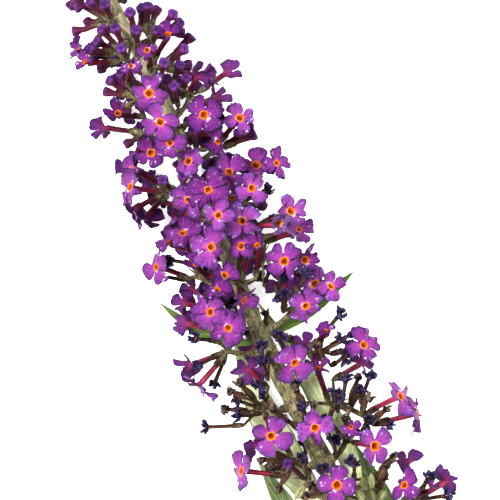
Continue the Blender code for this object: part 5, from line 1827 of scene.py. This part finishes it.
# Withered tubes and faces: reach, across and under as on petals, tone from dark blue to brown. Paler
# patches on the faces are a painted sheen, and the dark blotches are partly the withered tissue's own
# colour and partly painted shade in its crumpled folds.
witheredSkinLook = {
    "shader": {"Specular IOR Level": 0.14},
    "pattern": (3000.0, 1100.0),
    "bump": (0.00014, 1.0),
    "navy": ((0.0, (0.060, 0.026, 0.014)), (0.42, (0.060, 0.022, 0.020)), (0.46, (0.60, 0.17, 0.008)),
             (0.50, (0.50, 0.16, 0.01)), (0.53, (0.030, 0.014, 0.030)), (0.62, (0.012, 0.009, 0.030)),
             (0.85, (0.022, 0.017, 0.058)), (1.0, (0.095, 0.070, 0.185))),
    "brown": ((0.0, (0.135, 0.066, 0.040)), (0.43, (0.125, 0.060, 0.038)), (0.50, (0.06, 0.031, 0.022)),
              (0.56, (0.024, 0.014, 0.011)), (0.8, (0.055, 0.034, 0.027)), (1.0, (0.27, 0.185, 0.145))),
    # The colour of the painted sheen on the withered faces.
    "light": (0.105, 0.080, 0.20),
    "dark": (0.014, 0.009, 0.010),
    "streak": (0.27, 0.150, 0.090),
}


def witheredFinish():
    look = witheredSkinLook
    material, tree, grain = newFinish("witheredSkin", look, petalGrain)
    half = times(mask(tree, "reach"), 0.5)
    # Lighter mottled patches on the lobes: painted sheen.
    paintedSheen = times(stretch(grain["Mottle"], 0.50, 4.0), stretch(half, 0.5, 4.0))
    navy = laidOver(addRamp(half, look["navy"]), look["light"], paintedSheen, 0.6)
    colour = laidOver(navy, addRamp(half, look["brown"]), stretch(mask(tree, "tone"), 0.35, 2.5))
    neck = times(mask(tree, "under"), stretch(half, 0.49, 50.0))
    neck = less(neck, stretch(half, 0.53, 20.0), clamp=True)
    # Dark blotches: partly the withered tissue's own colour, partly painted shade in its crumpled folds; the
    # back of the neck is dark too.
    darker = doMath("MAXIMUM", neck, times(stretch(grain["Blotch"], 0.52, 6.0), 0.75))
    colour = laidOver(colour, look["dark"], darker)
    onTube = less(1.0, stretch(half, 0.40, 20.0), clamp=True)
    streaks = times(times(mask(tree, "across"), 0.5, clamp=True), onTube)
    colour = laidOver(colour, look["streak"], streaks)
    return finishWith(material, look, colour, scaled(grain["Blotch"], 0.3, 0.42), grain["Height"])


# Leaves: reach runs along the blade, across from edge to edge, under marks the felted face, and
# tone is how pale that is; a low tone darkens and greys the felt as painted shade.
leafSkinLook = {
    "shader": {"Sheen Weight": 0.10, "Sheen Roughness": 0.5, "Specular IOR Level": 0.3},
    "pattern": (2600.0, 260.0),
    "bump": (0.00009, 0.6),
    "green": (0.115, 0.200, 0.022),
    "deep": (0.050, 0.105, 0.014),
    "pale": (0.47, 0.51, 0.25),
    "grey": (0.12, 0.145, 0.050),
    "felt": (0.65, 0.68, 0.43),
    "vein": (0.74, 0.77, 0.56),
}


def leafFinish():
    look = leafSkinLook
    material, tree, fibres = newFinish("leafSkin", look, feltFibres)
    tone = mask(tree, "tone")
    side = doMath("ABSOLUTE", mask(tree, "across"))
    slanted = less(times(mask(tree, "reach"), leafLook["veins"]), times(side, leafLook["slant"]))
    rib = doMath("COSINE", times(slanted, 2.0 * math.pi))
    rib = doMath("POWER", doMath("MAXIMUM", rib, 0.0), 10.0)
    vein = doMath("MAXIMUM", rib, less(1.0, times(side, 11.0), clamp=True))
    soft = stretch(fibres["Patch"], 0.35, 3.0)
    green = laidOver(laidOver(look["deep"], look["green"], soft), look["pale"], vein, 0.25)
    # The darker, greyer felt of a low tone is painted shade.
    greyer = laidOver(look["deep"], look["grey"], soft)
    felt = laidOver(greyer, laidOver(look["pale"], look["felt"], soft), tone)
    felt = laidOver(felt, look["vein"], times(vein, scaled(tone, 0.4, 0.25)))
    felt = laidOver(felt, look["green"], stretch(side, 0.86, 9.0), 0.8)
    felt = laidOver(felt, look["grey"], stretch(fibres["Fibre"], 0.48, 5.0), 0.35)
    colour = laidOver(green, felt, mask(tree, "under"))
    return finishWith(material, look, colour, scaled(fibres["Fibre"], 0.2, 0.55), fibres["Height"])


petalGrain = buildPetalGrain()
feltFibres = buildFeltFibres()
finishMaterials = {
    "petal": petalFinish(), "tube": tubeFinish(), "bud": budFinish(), "felt": feltFinish(),
    "withered": witheredFinish(), "leaf": leafFinish(),
}
print("finishes made:", len(finishMaterials))

sprays, leaves = planSpike()
shift = shiftFromSolid(*leaves[-1])
slotOf = {part["node"]: part["material_slot"] for part in frame["record"]["subparts"]}
print("places worked out; the solids stand", np.round(shift, 3).tolist(), "mm from the stem's axes")

stemPiece()
for number, spray in enumerate(sprays):
    sprayPiece(number, spray)
for leaf in leaves:
    leafPiece(*leaf)
floretCount = sum(len(spray.florets) for spray in sprays)
print("fine pieces made:", len(triangleCounts), "with", floretCount, "florets")
print("triangles:", sum(triangleCounts), "in all, at most", max(triangleCounts), "a piece")


# The surface, the lamps and the camera. The surface glows only where the camera sees it.
stageLook = {
    "shader": {"Base Color": (0.95, 0.95, 0.95), "Emission Color": (1.0, 1.0, 1.0), "Roughness": 0.8},
    "surfaceGlow": 0.42,
    "surfaceSize": 12000.0,
    "skyStrength": 0.80,
    "lamps": (("key", (-210.0, 200.0, 690.0), 240.0, 9.2), ("fill", (420.0, -260.0, 520.0), 420.0, 3.4)),
    "contrast": 0.82,
    "sensor": 36.0,
}


def addSurface():
    half = stageLook["surfaceSize"] / 2 * metre
    mesh = bpy.data.meshes.new("surface")
    corners = [(-half, -half, 0.0), (half, -half, 0.0), (half, half, 0.0), (-half, half, 0.0)]
    mesh.from_pydata(corners, [], [(0, 1, 2, 3)])
    surface = addObject("surface", mesh)
    material, tree, _ = newFinish("paleSurface", stageLook)
    seen = addNode(tree, "LightPath").outputs["Is Camera Ray"]
    setInput(tree.nodes["Principled BSDF"], "Emission Strength", times(seen, stageLook["surfaceGlow"]))
    mesh.materials.append(material)


def addLamp(name, place, size, power):
    light = bpy.data.lights.new(name, "AREA")
    light.shape = "DISK"
    light.size = size * metre
    light.energy = power
    lamp = addObject(name, light)
    lamp.location = [value * metre for value in place]
    towards = upward * stemPlane - np.array(place)
    lamp.rotation_euler = mathutils.Vector(towards).to_track_quat("-Z", "Y").to_euler()


def addSky():
    world = bpy.data.worlds.new("softSky")
    world.use_nodes = True
    background = world.node_tree.nodes["Background"]
    setInput(background, "Color", (1.0, 1.0, 1.0))
    setInput(background, "Strength", stageLook["skyStrength"])
    bpy.context.scene.world = world


def addCamera():
    # Straight above, with the picture's lean; 500 pixels are 100 mm at the stem.
    lens = bpy.data.cameras.new("camera")
    lens.sensor_width = stageLook["sensor"]
    lens.lens = stageLook["sensor"] * eyeDistance / (2 * pictureMiddle / pixelsPerMm)
    camera = addObject("camera", lens)
    camera.location = (np.array([sideShift, 0.0, stemPlane + eyeDistance]) + shift) * metre
    camera.rotation_euler = (0.0, 0.0, -pictureLean)
    bpy.context.scene.camera = camera


addSurface()
for lamp in stageLook["lamps"]:
    addLamp(*lamp)
addSky()
addCamera()
bpy.context.scene.view_settings.view_transform = "Standard"
bpy.context.scene.view_settings.gamma = stageLook["contrast"]
print("stage, lamps and camera in place")
